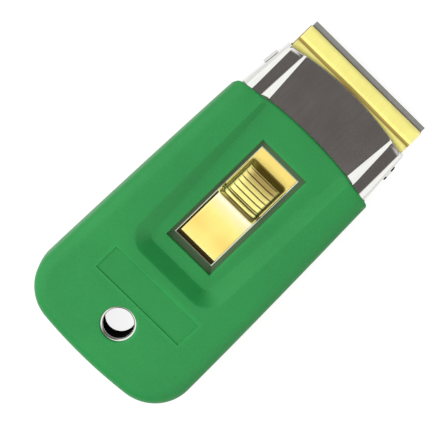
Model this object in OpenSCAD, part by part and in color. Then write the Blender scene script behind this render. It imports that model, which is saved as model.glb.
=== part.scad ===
// Pocket scraper with a sliding blade carrier, lying on its back with the blade pushed out.
// +Y points to the blade, +Z up. The origin is under the middle of the length, on the surface it lies on.

/* [Blade] */
// Width of the blade
blade_width = 38.1; // [30:0.1:46]
// Depth of the blade from its edge to its back
blade_depth = 19; // [18:0.1:20]
// Thickness of the blade
blade_thickness = 0.23; // [0.15:0.01:0.4]
// Width of the ground edge
blade_grind = 1; // [0.5:0.1:1.3]
// Depth of the folded back
spine_depth = 5; // [3:0.1:6]
// Thickness of the folded back
spine_thickness = 0.9; // [0.8:0.05:1.2]
// How far the edge stands in front of the nose
blade_reach = 6.4; // [5:0.1:8]
// How far the edge stands in front of the carrier's lip
blade_show = 1.35; // [0.8:0.05:3]

/* [Carrier] */
// Thickness of the carrier's two plates
plate = 0.6; // [0.5:0.05:0.65]
// How far the carrier stands out past each end of the blade
jaw_margin = 0.25; // [0.1:0.05:0.6]
// How far the slide's tail laps under the window's rim on each side
tail_lap = 2.7; // [1:0.1:5]
// How much of the tail stays under the window's rear edge with the blade fully out
tail_margin = 3.2; // [1:0.1:4]
// Distance from the lip to the groove across it
groove_from_lip = 4.4; // [2:0.1:5]
// Width of the groove across the lip
groove_width = 1; // [0.5:0.1:1.5]
// Depth of the groove across the lip
groove_depth = 0.3; // [0.1:0.05:0.4]
// How far the lower jaw stops short of the lip
tray_setback = 0.5; // [0.2:0.1:1]
// Length of the lower jaw's joint behind the blade
tray_joint = 6.5; // [5:0.1:9]
// Distance of the rivets from the carrier's sides
rivet_inset = 7.3; // [4:0.1:8]
// Diameter of the carrier rivets
rivet_diameter = 2; // [1.5:0.1:2.5]
// Travel of the carrier from the shown place to the front stop
travel_forward = 2.8; // [1:0.1:4]
// Travel of the carrier from the shown place to the rear stop
travel_back = 14.1; // [13:0.1:15]

/* [Thumb hump] */
// Width of the thumb hump
hump_width = 11.1; // [9:0.1:12]
// Length of the thumb hump at its foot
hump_length = 12.9; // [12:0.1:14]
// Height of the thumb hump over the slide
hump_height = 2.75; // [2:0.05:3.2]
// Run of the hump's front and rear slopes
hump_run = 1.9; // [1.2:0.1:2.2]
// Fall of the hump's top towards its sides
hump_crown = 0.5; // [0.2:0.05:0.8]
// Number of grooves across the hump
rib_count = 6; // [3:1:7]
// Distance between the grooves
rib_pitch = 1.5; // [1:0.05:1.6]
// Width of each groove
rib_width = 0.7; // [0.4:0.05:0.9]
// Depth of each groove
rib_depth = 0.3; // [0.1:0.05:0.4]

/* [Window] */
// Distance from the cover's front edge to the window
window_from_front = 9; // [8:0.1:10]
// Gap between the hump and the metal rim on each side
hump_side_gap = 0.6; // [0.3:0.05:1]
// Width of the flat metal rim
rim_land = 0.55; // [0.4:0.05:0.7]
// Drop from the panel to the rim
rim_drop = 0.9; // [0.8:0.05:1]
// How far the cover stands back from the drawn edge at the window's front and rear
window_end_margin = 0.45; // [0.1:0.05:0.8]

/* [Metal body] */
// Sheet thickness of the two shells
sheet = 0.6; // [0.5:0.05:0.7]
// Length of the nose from the cover's front edge to the body's front edge
nose_length = 14.9; // [13:0.1:17]
// How much the nose widens on each side towards the cover
nose_flare = 1.15; // [0.8:0.05:1.4]
// How much the body widens on each side inside the cover
body_flare = 1.3; // [0.6:0.05:1.8]
// Radius of the nose's front edge in plan
nose_arc_radius = 90; // [70:1:150]
// Rise of the side bands from the panel to the cover's front edge
band_rise = 1.5; // [1.2:0.1:1.7]
// Depth of the trough in the body's top, at its rear
trough_depth = 2.85; // [2.6:0.05:3.1]
// Rounding of the body's upper side edges
shoulder_radius = 1.2; // [0.8:0.1:1.8]
// Width of each side band at the nose's front corners
band_front_width = 5.25; // [4.5:0.05:6]
// How much the flat panel narrows on each side from the nose's front corners to the cover's front edge
panel_taper = 1; // [0.5:0.05:1.4]
// Run of the slope between the panel and the bands, where the cover begins
facet_run = 2.25; // [1.8:0.05:2.6]
// Distance from the front edge of the nose to where the bands begin to rise
band_start = 2.1; // [1.5:0.1:3]
// Length of the tabs that hold the lower shell
tab_length = 4.1; // [2:0.1:6]
// Height of the tabs folded up along the side walls
tab_height = 2.9; // [1.5:0.1:3.2]
// Distance from the nose's front edge to the middle of the tabs
tab_from_front = 8.2; // [6:0.1:10]

/* [Handle cover] */
// Length of the cover along its centre line
cover_length = 81.6; // [80:0.1:92]
// Thickness of the cover beside the body at its front
cover_side_wall = 1.6; // [1.4:0.05:2.5]
// How much the cover widens on each side towards the rear
cover_flare = 2.1; // [1.6:0.05:3.5]
// How far each side bows out of a straight line
cover_side_bulge = 0.15; // [0:0.05:0.4]
// Radius of the front corners in plan
front_corner_radius = 1.6; // [0.8:0.1:2.5]
// Radius of the front edge's arc in plan
cover_front_arc_radius = 113; // [80:1:200]
// Radius of the rear corners in plan
rear_corner_radius = 12; // [10:0.5:14]
// Radius of the rear end's gentle arc in plan
rear_arc_radius = 130; // [90:1:200]
// Thickness of the cover over the body's side bands at its front
rail_skin = 1.1; // [0.9:0.05:1.6]
// Thickness of the cover over the body behind the recess
crown_skin = 1.25; // [1:0.05:2]
// Fall of the cover from behind the recess to its rear end
rear_fall = 0.4; // [0:0.05:0.5]
// Width of the soft rounding along the top edge
top_edge_width = 3.6; // [2:0.1:3.9]
// Height of the soft rounding along the top edge
top_edge_drop = 3.2; // [2:0.1:4]
// Width and height of the rounding along the bottom edge
bottom_edge_round = 1.6; // [0.8:0.1:2]
// Thickness of the cover under the body
cover_floor = 1.1; // [0.9:0.1:1.6]
// Thickness of the cover over the body's flat panel
cover_skin = 1; // [0.8:0.1:1.2]
// Thickness of the cover round the rear end
cover_rear_wall = 2.6; // [2:0.1:3.5]

/* [Thumb recess] */
// Distance from the rear end to the recess's rear edge
recess_from_rear = 30.4; // [29:0.1:32]
// Run of the recess's rear slope
recess_rear_run = 4.2; // [3:0.1:5]
// Width of each rail beside the recess, at the cover's front edge
rail_width = 7.75; // [7:0.05:8.5]
// Run of the recess's side slopes at the cover's front edge
recess_front_run = 1.9; // [1.4:0.1:2.6]
// Run of the recess's side slopes at the rear
recess_side_run = 4.7; // [3.5:0.1:5.5]
// Radius of the upper edge's rear corners
recess_corner_radius = 6.4; // [4:0.1:8]
// Radius of the floor's rear corners
recess_floor_corner_radius = 2.5; // [1:0.1:4]

/* [Plate and hang hole] */
// Width of the bare sunk plate
plate_width = 29.1; // [20:0.1:32]
// Length of the bare sunk plate
plate_length = 7.4; // [4:0.1:8]
// Distance from the rear end to the plate's middle
plate_from_rear = 23.8; // [23:0.1:25]
// Depth of the plate below the cover
plate_depth = 0.3; // [0.1:0.05:0.4]
// Distance from the rear end to the middle of the hang hole
hole_from_rear = 13.25; // [12:0.05:14]
// Bore of the eyelet
eyelet_bore = 8; // [6:0.1:8.6]
// Wall of the eyelet
eyelet_wall = 0.4; // [0.3:0.05:0.6]
// How far the eyelet's turned rims reach out past its wall
eyelet_rim_reach = 1.3; // [0.8:0.1:1.8]
// Thickness of the eyelet's turned rims
eyelet_rim = 0.4; // [0.3:0.05:0.5]
// How far the cover stands back from the eyelet's wall
hole_margin = 0.15; // [0.05:0.05:0.4]

/* [Drag spring] */
// Length of the leaf spring
spring_length = 20; // [17:0.5:20.5]
// Width of the leaf spring
spring_width = 6; // [4:0.1:8]
// Thickness of the leaf spring
spring_thickness = 0.3; // [0.2:0.05:0.35]
// Length of the spring's flat seat at its rivet
spring_seat = 5; // [4:0.1:6]
// Diameter of the spring's rivet
spring_rivet_diameter = 2; // [1.5:0.1:2.5]

/* [Clearances] */
// Gap between pieces that are fixed to each other
fit_gap = 0.05; // [0.02:0.01:0.08]
// Gap between the carrier and what it slides along
run_gap = 0.15; // [0.1:0.01:0.2]
// Gap between the carrier's sides and the nose's side walls
side_gap = 0.2; // [0.1:0.05:0.4]
// Gap between the blade's back and the jaws
blade_gap = 0.05; // [0.03:0.01:0.08]
// Gap left between the hump and the rim at the end of the travel
stop_gap = 0.4; // [0.2:0.05:0.5]

/* [Hidden] */
$fn = 64;

// Overrun of every cut past the face that it leaves through
over = 2;
// Numbers of steps in the outlines' arcs
front_steps = 6;
side_steps = 8;
corner_steps = 9;
rear_steps = 4;
edge_steps = 5;
bow_steps = 24;

// Half width of the flats in the middle of the front and rear arcs
arc_flat = 1;

// Thickness of a rivet's head, and its diameter as a share of the shank's
rivet_head = 0.4;
rivet_head_share = 1.7;

// Widths, from the blade out through the carrier and the body to the cover
carrier_width = blade_width + 2 * jaw_margin;
nose_width = carrier_width + 2 * (side_gap + sheet);
body_mouth_width = nose_width + 2 * nose_flare;
body_rear_width = body_mouth_width + 2 * body_flare;
cover_front_width = body_mouth_width + 2 * cover_side_wall;
cover_rear_width = cover_front_width + 2 * cover_flare;
panel_front_width = nose_width - 2 * band_front_width;
panel_mouth_width = panel_front_width - 2 * panel_taper;
recess_width = cover_front_width - 2 * rail_width;
recess_floor_front_width = recess_width - 2 * recess_front_run;
recess_floor_rear_width = recess_width - 2 * recess_side_run;

// The window's drawn edge goes round the hump with room for its travel
rim_width = hump_width + 2 * hump_side_gap;
rim_length = hump_length + travel_forward + travel_back + 2 * stop_gap;
window_width = rim_width + 2 * (rim_land + rim_drop);
window_length = rim_length + 2 * (rim_land + rim_drop + window_end_margin);
tail_width = rim_width + 2 * (rim_land + tail_lap);

// The cover and the shells go round the eyelet
eyelet_outside = eyelet_bore + 2 * eyelet_wall;
eyelet_rim_diameter = eyelet_outside + 2 * eyelet_rim_reach;
cover_hole_diameter = eyelet_outside + 2 * hole_margin;

// Stations along Y
overall_length = cover_length + nose_length + blade_reach;
rear_y = -overall_length / 2;
cover_front_y = rear_y + cover_length;
nose_y = cover_front_y + nose_length;
edge_y = nose_y + blade_reach;
lip_y = edge_y - blade_show;
blade_back_y = edge_y - blade_depth;
tray_end_y = blade_back_y - tray_joint;
rivet_y = tray_end_y + tray_joint / 2;
rivet_x = carrier_width / 2 - rivet_inset;
hole_y = rear_y + hole_from_rear;
plate_y = rear_y + plate_from_rear;
recess_y = rear_y + recess_from_rear;
window_front_y = cover_front_y - window_from_front;
window_mid_y = window_front_y - window_length / 2;
rim_front_y = window_mid_y + rim_length / 2;
hump_front_y = rim_front_y - stop_gap - travel_forward;
hump_rear_y = hump_front_y - hump_length;
tail_y = window_mid_y - rim_length / 2 - travel_forward - tail_margin;
spring_rivet_y = tail_y + spring_seat / 2;
tab_y = nose_y - tab_from_front;

// Heights, from the surface up through the stack
body_z = cover_floor + fit_gap;
floor_z = body_z + sheet;
tray_z = floor_z + run_gap;
slide_z = tray_z + plate + spine_thickness + 2 * blade_gap;
slide_top_z = slide_z + plate;
blade_mid_z = tray_z + plate + blade_gap + spine_thickness / 2;
rim_z = slide_top_z + run_gap;
rim_top_z = rim_z + sheet;
panel_z = rim_top_z + rim_drop;
recess_floor_z = panel_z + fit_gap + cover_skin;
hump_top_z = slide_top_z + hump_height;
body_rear_height = panel_z + trough_depth;
cover_front_height = panel_z + band_rise + fit_gap + rail_skin;
cover_crown_height = body_rear_height + fit_gap + crown_skin;
cover_rear_height = cover_crown_height - rear_fall;

// Half sizes of the funnel in the window, at the rim and at the panel, on the sheet's upper side
rim_foot = [rim_width / 2 + rim_land, rim_length / 2 + rim_land];
funnel_top = rim_foot + [rim_drop, rim_drop];
// The sheet's lower side lies this far outside the upper side, on a slope of 45 degrees
funnel_wall = sheet * (sqrt(2) - 1);

// Plan of the cover: its front corners' arcs meet the front arc smoothly, its rear corners' arcs the rear arc
front_arc_y = cover_front_y - cover_front_arc_radius;
front_corner_x = cover_front_width / 2 - front_corner_radius;
front_corner_turn = asin(front_corner_x / (cover_front_arc_radius - front_corner_radius));
front_corner_y = front_arc_y + (cover_front_arc_radius - front_corner_radius) * cos(front_corner_turn);
rear_arc_y = rear_y + rear_arc_radius;
rear_corner_x = cover_rear_width / 2 - rear_corner_radius;
rear_corner_turn = asin(rear_corner_x / (rear_arc_radius - rear_corner_radius));
rear_corner_y = rear_arc_y - (rear_arc_radius - rear_corner_radius) * cos(rear_corner_turn);

// Slope of the body's trough, and how much of a sheet's thickness its foot moves sideways
facet_slope = band_rise / facet_run;
facet_foot_share = 0.35;
trough_rear_y = recess_y + recess_rear_run - cover_skin;

function mix(a, b, share) = a + (b - a) * share;

function mirrored(half) = concat(half, [for (i = [len(half) - 1 : -1 : 0]) [-half[i][0], half[i][1]]]);

function along(y, from_y, to_y) = (from_y - y) / (from_y - to_y);

function cover_half(y) =
    let (share = along(y, front_corner_y, rear_corner_y))
    mix(cover_front_width, cover_rear_width, share) / 2 + cover_side_bulge * 4 * share * (1 - share);

// Right half of the cover's plan, from start_y round to the middle of the rear end, moved in by inset
function side_plan(inset, start_y) = concat(
    [for (i = [0 : side_steps - 1])
        let (y = mix(start_y, rear_corner_y, i / side_steps))
        [cover_half(y) - inset, y]],
    [for (i = [0 : corner_steps - 1])
        let (turn = (90 - rear_corner_turn) * i / corner_steps, r = rear_corner_radius - inset)
        [rear_corner_x + r * cos(turn), rear_corner_y - r * sin(turn)]],
    [for (i = [0 : rear_steps - 1])
        let (turn = rear_corner_turn * (1 - i / rear_steps), r = rear_arc_radius - inset)
        [r * sin(turn), rear_arc_y - r * cos(turn)]],
    [[arc_flat, rear_y + inset]]
);

// The same from the middle of the front edge; inset moves the sides in but leaves the front edge in place
function cover_plan(inset) =
    let (arc_end_x = cover_front_arc_radius * sin(front_corner_turn))
    concat(
        [[arc_flat, cover_front_y]],
        [for (i = [1 : front_steps - 1])
            let (turn = front_corner_turn * i / front_steps)
            [cover_front_arc_radius * sin(turn) * (arc_end_x - inset) / arc_end_x,
             front_arc_y + cover_front_arc_radius * cos(turn)]],
        [for (i = [0 : edge_steps - 1])
            let (turn = (90 - front_corner_turn) * (1 - i / edge_steps))
            [front_corner_x + front_corner_radius * cos(turn) - inset,
             front_corner_y + front_corner_radius * sin(turn)]],
        side_plan(inset, front_corner_y)
    );

// Right half of the room for the body in the cover: clear of the nose, then a wall in from the cover's rear
function body_plan(inset) = concat(
    [[cover_front_width / 2, nose_y + 2 * over]],
    side_plan(cover_rear_wall + inset, recess_y)
);

// Top of the cover at the rails: rising from the front to the crown, then falling gently to the rear
function rail_z(y) =
    y > recess_y
        ? mix(cover_front_height, cover_crown_height, along(y, cover_front_y, recess_y))
        : mix(cover_crown_height, cover_rear_height, pow(along(y, recess_y, rear_y), 2));

function body_half(y) = lookup(y, [
    [recess_y, body_rear_width / 2],
    [cover_front_y, body_mouth_width / 2],
    [nose_y - band_start, nose_width / 2]
]);

function band_z(y) = lookup(y, [
    [recess_y, body_rear_height],
    [cover_front_y, panel_z + band_rise],
    [nose_y - band_start, panel_z]
]);

// The panel's sides are straight from the nose through the cover's front edge to the trough's end
function panel_half(y) =
    mix(panel_front_width, panel_mouth_width, along(y, nose_y - band_start, cover_front_y)) / 2;

// Solid through rings of points, each ring symmetric about X = 0 and listed right half first
module loft(rings) {
    n = len(rings[0]);
    last = len(rings) - 1;
    points = [for (ring = rings) each ring];
    sides = [for (k = [0 : last - 1], i = [0 : n - 1])
        let (a = k * n + i, b = k * n + (i + 1) % n)
        each [[a, b, b + n], [a, b + n, a + n]]];
    caps = [for (i = [0 : n / 2 - 2])
        let (j = n - 1 - i, top = last * n)
        each [
            [j, j - 1, i + 1], [j, i + 1, i],
            [top + i, top + i + 1, top + j - 1], [top + i, top + j - 1, top + j]
        ]];
    polyhedron(points = points, faces = concat(sides, caps), convexity = 6);
}

// The cover's outside: its plan moved in by a quarter ellipse below and above the sides
module cover_body() {
    function low(turn) =
        [for (p = mirrored(cover_plan(bottom_edge_round * (1 - sin(turn)))))
            [p[0], p[1], bottom_edge_round * (1 - cos(turn))]];
    function high(turn) =
        [for (p = mirrored(cover_plan(top_edge_width * (1 - cos(turn)))))
            [p[0], p[1], rail_z(p[1]) - top_edge_drop * (1 - sin(turn))]];
    loft(concat(
        [for (i = [0 : edge_steps]) low(90 * i / edge_steps)],
        [for (i = [0 : edge_steps]) high(90 * i / edge_steps)]
    ));
}

// A disc whose rim is the arc of the nose's front edge, high enough to trim any piece
module nose_arc(front_y, radius) {
    translate([0, front_y - radius, -over])
        cylinder(h = cover_crown_height + 2 * over, r = radius, $fn = 360);
}

// Thumb recess: sloped walls from a tapered floor up to the rails
module recess() {
    start_y = cover_front_y + over;
    function outline(front_half, end_half, end_y, r) = concat(
        [[front_half, start_y]],
        [for (i = [0 : corner_steps])
            let (turn = 90 * i / corner_steps)
            [end_half - r + r * cos(turn), end_y + r - r * sin(turn)]]
    );
    foot = mirrored(outline(recess_floor_front_width / 2, recess_floor_rear_width / 2,
        recess_y + recess_rear_run, recess_floor_corner_radius));
    brim = mirrored(outline(recess_width / 2, recess_width / 2, recess_y, recess_corner_radius));
    loft([
        [for (p = foot) [p[0], p[1], recess_floor_z]],
        [for (p = brim) [p[0], p[1], rail_z(p[1])]],
        [for (p = brim) [p[0], p[1], cover_crown_height + over]]
    ]);
}

// Trough in the body's top, whose floor is the panel; grow moves the body's surface outwards
module trough(grow) {
    front_y = nose_y + over;
    end_y = trough_rear_y + grow * facet_foot_share;
    height = body_rear_height - panel_z + over;
    run = height / facet_slope;
    foot = grow * facet_foot_share;
    function ring(out, z) = [for (p = mirrored([
        [panel_half(front_y) - foot + out, front_y],
        [panel_half(end_y) - foot + out, end_y - out]
    ])) [p[0], p[1], z]];
    loft([ring(0, panel_z + grow), ring(run, panel_z + grow + height)]);
}

// The body's outside without its front edge; grow moves its surface outwards
module body_form(grow, low_z) {
    function ring(y) =
        let (half = body_half(y) + grow, top = band_z(y) + grow, r = shoulder_radius + grow)
        [for (p = mirrored(concat(
            [[half, low_z]],
            [for (i = [0 : edge_steps])
                let (turn = 90 * i / edge_steps)
                [half - r + r * cos(turn), top - r + r * sin(turn)]]
        ))) [p[0], y, p[1]]];
    stations = [rear_y, recess_y, cover_front_y, nose_y - band_start, nose_y + over];
    difference() {
        intersection() {
            loft([for (y = stations) ring(y)]);
            linear_extrude(cover_crown_height)
                polygon(mirrored(body_plan(-grow)));
        }
        trough(grow);
    }
}

// Frustum with straight sides round the window's middle, given by half sizes at two heights
module window_frustum(low_half, low_z, high_half, high_z) {
    function ring(half, z) = [for (p = mirrored([
        [half[0], window_mid_y + half[1]],
        [half[0], window_mid_y - half[1]]
    ])) [p[0], p[1], z]];
    loft([ring(low_half, low_z), ring(high_half, high_z)]);
}

module window_box(width, length, low_z, high_z) {
    translate([-width / 2, window_mid_y - length / 2, low_z])
        cube([width, length, high_z - low_z]);
}

module handle_cover() color("seagreen")
    difference() {
        cover_body();
        body_form(fit_gap, cover_floor);
        recess();
        window_box(window_width, window_length, panel_z, cover_crown_height);
        translate([-plate_width / 2, plate_y - plate_length / 2, rail_z(plate_y) - plate_depth])
            cube([plate_width, plate_length, over]);
        translate([0, hole_y, -over])
            cylinder(h = cover_crown_height + 2 * over, d = cover_hole_diameter);
        translate([0, hole_y, body_z - eyelet_rim - fit_gap])
            cylinder(h = body_rear_height - body_z + 2 * (eyelet_rim + fit_gap),
                     d = eyelet_rim_diameter + 2 * fit_gap);
    }

module funnel_wall_block() {
    out = [funnel_wall, funnel_wall];
    window_frustum(rim_foot + out, rim_z, funnel_top + out, rim_z + rim_drop);
    window_frustum(funnel_top + out, rim_z + rim_drop, funnel_top + out, panel_z - sheet / 2);
}

module funnel_cut() {
    lift = [over, over];
    window_frustum(rim_foot, rim_top_z, funnel_top + lift, panel_z + over);
    window_box(rim_width, rim_length, rim_z - over, panel_z);
}

// The front edge is turned down to just above the slide
module nose_flange() {
    low_z = slide_top_z + run_gap;
    intersection() {
        body_form(0, body_z);
        difference() {
            translate([-nose_width / 2, nose_y - band_start - over, low_z])
                cube([nose_width, band_start + over, panel_z - low_z]);
            nose_arc(nose_y - sheet, nose_arc_radius - sheet);
        }
    }
}

module top_shell() color("silver")
    difference() {
        intersection() {
            union() {
                difference() {
                    body_form(0, body_z);
                    body_form(-sheet, body_z - over);
                }
                nose_flange();
                funnel_wall_block();
            }
            nose_arc(nose_y, nose_arc_radius);
        }
        funnel_cut();
        tab_slots();
        translate([0, hole_y, 0])
            cylinder(h = cover_crown_height, d = eyelet_outside + 2 * fit_gap);
    }

module tab_slots() {
    for (side = [-1, 1])
        translate([side * body_half(tab_y), tab_y, body_z])
            cube([2 * over, tab_length + 2 * fit_gap, 2 * (sheet + fit_gap)], center = true);
}

module bottom_shell() color("gainsboro")
    translate([0, 0, body_z])
        difference() {
            union() {
                linear_extrude(sheet) bottom_outline();
                bottom_tabs();
            }
            translate([0, hole_y, -over])
                cylinder(h = sheet + 2 * over, d = eyelet_outside + 2 * fit_gap);
        }

module bottom_outline() {
    inset = sheet + fit_gap;
    stations = [nose_y, nose_y - band_start, cover_front_y, recess_y, rear_y];
    intersection() {
        polygon(mirrored([for (y = stations) [body_half(y) - inset, y]]));
        polygon(mirrored(body_plan(inset)));
        translate([0, nose_y - nose_arc_radius])
            circle(r = nose_arc_radius, $fn = 360);
    }
}

// The tabs go out through slots in the side walls and are folded up along them
module bottom_tabs() {
    module strip(out, reach)
        linear_extrude(tab_height)
            polygon(mirrored([for (y = [tab_y + reach, tab_y - reach]) [body_half(y) + out, y]]));
    difference() {
        strip(fit_gap + sheet, tab_length / 2);
        translate([0, 0, sheet]) strip(fit_gap, tab_length);
    }
}

module hang_eyelet() color("lightgray")
    translate([0, hole_y, 0])
        rotate_extrude()
            difference() {
                union() {
                    translate([0, body_z - eyelet_rim])
                        square([eyelet_outside / 2,
                                body_rear_height - body_z + 2 * eyelet_rim]);
                    for (z = [body_z - eyelet_rim, body_rear_height])
                        translate([0, z])
                            square([eyelet_rim_diameter / 2, eyelet_rim]);
                }
                square([eyelet_bore / 2, cover_crown_height]);
            }

// Extrudes an outline drawn in Y and Z across X, centred on the middle
module across(width) {
    rotate([90, 0, 90])
        translate([0, 0, -width / 2])
            linear_extrude(width)
                children();
}

// Outline of the hump, moved inwards by inset
module hump_outline(inset) {
    slant = inset * sqrt(1 + pow(hump_run / hump_height, 2));
    top_z = hump_height - inset;
    polygon([
        [hump_front_y - slant, 0],
        [hump_front_y - slant - hump_run * top_z / hump_height, top_z],
        [hump_rear_y + slant + hump_run * top_z / hump_height, top_z],
        [hump_rear_y + slant, 0]
    ]);
}

// Radius of the hump's arched top across X
function crown_radius() = (pow(hump_width / 2, 2) + pow(hump_crown, 2)) / (2 * hump_crown);

module hump_shape(inset) {
    r = crown_radius() - inset;
    intersection() {
        translate([0, 0, slide_top_z])
            across(hump_width - 2 * inset) hump_outline(inset);
        translate([0, hump_front_y + over, hump_top_z - inset - r])
            rotate([90, 0, 0])
                cylinder(h = hump_length + 2 * over, r = r, $fn = 180);
    }
}

// Grooves across the hump, following its arched top
module ribs() {
    mid_y = hump_front_y - hump_length / 2;
    r = crown_radius();
    for (i = [0 : rib_count - 1])
        translate([0, mid_y + (i - (rib_count - 1) / 2) * rib_pitch, hump_top_z - r])
            rotate([90, 0, 0])
                rotate_extrude($fn = 180)
                    polygon([
                        [r - rib_depth, 0],
                        [r + rib_depth, rib_width],
                        [r + rib_depth, -rib_width]
                    ]);
}

module slide_outline() {
    wide = carrier_width / 2;
    narrow = tail_width / 2;
    step_y = tray_end_y - (wide - narrow) / 2;
    polygon(mirrored([
        [wide, lip_y],
        [wide, tray_end_y],
        [narrow, step_y],
        [narrow, tail_y]
    ]));
}

module thumb_slide() color("khaki")
    difference() {
        union() {
            translate([0, 0, slide_z])
                linear_extrude(plate) slide_outline();
            hump_shape(0);
        }
        hump_hollow();
        ribs();
        across(carrier_width + 2 * over) lip_groove();
        rivet_holes();
        translate([0, spring_rivet_y, slide_z - over])
            cylinder(h = plate + 2 * over, d = spring_rivet_diameter + 2 * fit_gap);
    }

// The hump is pressed out of the sheet, so it is hollow underneath
module hump_hollow() {
    hump_shape(plate);
    translate([0, 0, slide_z - over])
        linear_extrude(plate + over)
            translate([-(hump_width / 2 - plate), hump_rear_y + 2 * plate])
                square([hump_width - 2 * plate, hump_length - 4 * plate]);
}

module lip_groove() {
    translate([lip_y - groove_from_lip, slide_top_z])
        polygon([
            [groove_width / 2, groove_depth],
            [groove_width / 2, 0],
            [0, -groove_depth],
            [-groove_width / 2, 0],
            [-groove_width / 2, groove_depth]
        ]);
}

module rivet_holes() {
    for (side = [-1, 1])
        translate([side * rivet_x, rivet_y, tray_z])
            cylinder(h = slide_top_z - tray_z + over, d = rivet_diameter + 2 * fit_gap);
}

// The lower jaw steps up behind the blade to meet the slide
module blade_tray() color("darkkhaki")
    difference() {
        across(carrier_width) tray_outline();
        rivet_holes();
    }

module tray_outline() {
    stop_y = blade_back_y - blade_gap;
    polygon([
        [lip_y - tray_setback, tray_z],
        [lip_y - tray_setback, tray_z + plate],
        [stop_y, tray_z + plate],
        [stop_y, slide_z],
        [tray_end_y, slide_z],
        [tray_end_y, slide_z - plate],
        [stop_y - plate, slide_z - plate],
        [stop_y - plate, tray_z]
    ]);
}

module carrier_rivets() color("dimgray")
    for (side = [-1, 1])
        translate([side * rivet_x, rivet_y, 0]) {
            translate([0, 0, slide_z - plate - rivet_head])
                cylinder(h = 2 * plate + 2 * rivet_head, d = rivet_diameter);
            for (z = [slide_z - plate - rivet_head, slide_top_z])
                translate([0, 0, z])
                    cylinder(h = rivet_head, d = rivet_diameter * rivet_head_share);
        }

// Bowed leaf: flat at its rivet, then down to the lower shell and back up to the slide
module drag_spring() color("slategray")
    difference() {
        across(spring_width) spring_outline();
        translate([0, spring_rivet_y, floor_z])
            cylinder(h = slide_z - floor_z, d = spring_rivet_diameter + 2 * fit_gap);
    }

module spring_outline() {
    low_z = floor_z + run_gap;
    drop = slide_z - spring_thickness - low_z;
    bow_length = spring_length - spring_seat;
    function bow(i) =
        let (share = i / bow_steps)
        [tail_y + spring_seat + bow_length * share, slide_z - drop * (1 - cos(360 * share)) / 2];
    upper = concat([[tail_y, slide_z]], [for (i = [0 : bow_steps]) bow(i)]);
    lower = [for (i = [len(upper) - 1 : -1 : 0]) upper[i] - [0, spring_thickness]];
    polygon(concat(upper, lower));
}

module spring_rivet() color("dimgray")
    translate([0, spring_rivet_y, 0]) {
        translate([0, 0, slide_z - spring_thickness - rivet_head])
            cylinder(h = plate + spring_thickness + rivet_head, d = spring_rivet_diameter);
        translate([0, 0, slide_z - spring_thickness - rivet_head])
            cylinder(h = rivet_head, d = spring_rivet_diameter * rivet_head_share);
    }

// Ground to an edge at the front, and held in the folded back
module blade() color("gray")
    across(blade_width)
        polygon([
            [edge_y, blade_mid_z],
            [edge_y - blade_grind, blade_mid_z + blade_thickness / 2],
            [blade_back_y + spine_wall(), blade_mid_z + blade_thickness / 2],
            [blade_back_y + spine_wall(), blade_mid_z - blade_thickness / 2],
            [edge_y - blade_grind, blade_mid_z - blade_thickness / 2]
        ]);

function spine_wall() = (spine_thickness - blade_thickness) / 2;

module blade_spine() color("lightgray")
    translate([0, blade_back_y, blade_mid_z])
        across(blade_width)
            difference() {
                translate([0, -spine_thickness / 2])
                    square([spine_depth, spine_thickness]);
                translate([spine_wall(), -blade_thickness / 2])
                    square([spine_depth, blade_thickness]);
            }

handle_cover();
top_shell();
bottom_shell();
hang_eyelet();
thumb_slide();
blade_tray();
carrier_rivets();
drag_spring();
spring_rivet();
blade();
blade_spine();
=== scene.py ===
"""Pocket scraper with a sliding blade carrier: the dressed model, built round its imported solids.

The file is laid out as an add-on and run as a script. Lengths are metres, +Y points to the blade and +Z up.
"""
import math

import bmesh
import bpy
import numpy as np
from mathutils import Matrix, Vector
from mathutils.geometry import delaunay_2d_cdt
from mathutils.kdtree import KDTree


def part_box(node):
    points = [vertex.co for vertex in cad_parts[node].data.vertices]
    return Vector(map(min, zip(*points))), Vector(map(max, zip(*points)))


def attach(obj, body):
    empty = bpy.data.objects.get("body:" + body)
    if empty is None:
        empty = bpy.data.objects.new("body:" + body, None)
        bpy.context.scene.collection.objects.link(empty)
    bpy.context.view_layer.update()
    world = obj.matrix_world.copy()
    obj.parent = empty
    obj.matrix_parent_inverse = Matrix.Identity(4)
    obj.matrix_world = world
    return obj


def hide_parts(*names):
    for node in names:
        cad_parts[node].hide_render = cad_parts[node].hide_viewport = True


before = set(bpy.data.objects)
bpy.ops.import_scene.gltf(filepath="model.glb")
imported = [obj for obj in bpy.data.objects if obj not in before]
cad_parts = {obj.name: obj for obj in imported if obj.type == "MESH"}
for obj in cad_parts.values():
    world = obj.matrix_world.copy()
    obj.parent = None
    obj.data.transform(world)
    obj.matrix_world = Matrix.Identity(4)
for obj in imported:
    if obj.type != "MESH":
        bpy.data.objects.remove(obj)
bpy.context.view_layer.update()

bl_info = {
    "name": "Pocket scraper",
    "version": (1, 0, 0),
    "blender": (4, 5, 0),
    "location": "3D View > Sidebar > Scraper",
    "description": "Builds a pocket scraper with a sliding blade carrier round its packed solids",
    "category": "Add Mesh",
}

MM = 0.001

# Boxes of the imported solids
cover_low, cover_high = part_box("handle_cover")
shell_low, shell_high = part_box("top_shell")
_, lower_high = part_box("bottom_shell")
eyelet_low, eyelet_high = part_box("hang_eyelet")
slide_low, slide_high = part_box("thumb_slide")
tray_low, tray_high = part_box("blade_tray")
spring_low, spring_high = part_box("drag_spring")
blade_low, blade_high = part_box("blade")
spine_low, spine_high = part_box("blade_spine")

# Sheet thicknesses and gaps, and the height below which a triangle is left out
SHEET = 0.6 * MM
FIT_GAP = 0.05 * MM
RUN_GAP = 0.15 * MM
SIDE_GAP = 0.2 * MM
SPRING_SHEET = 0.3 * MM
SLIVER = 0.0001 * MM

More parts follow.
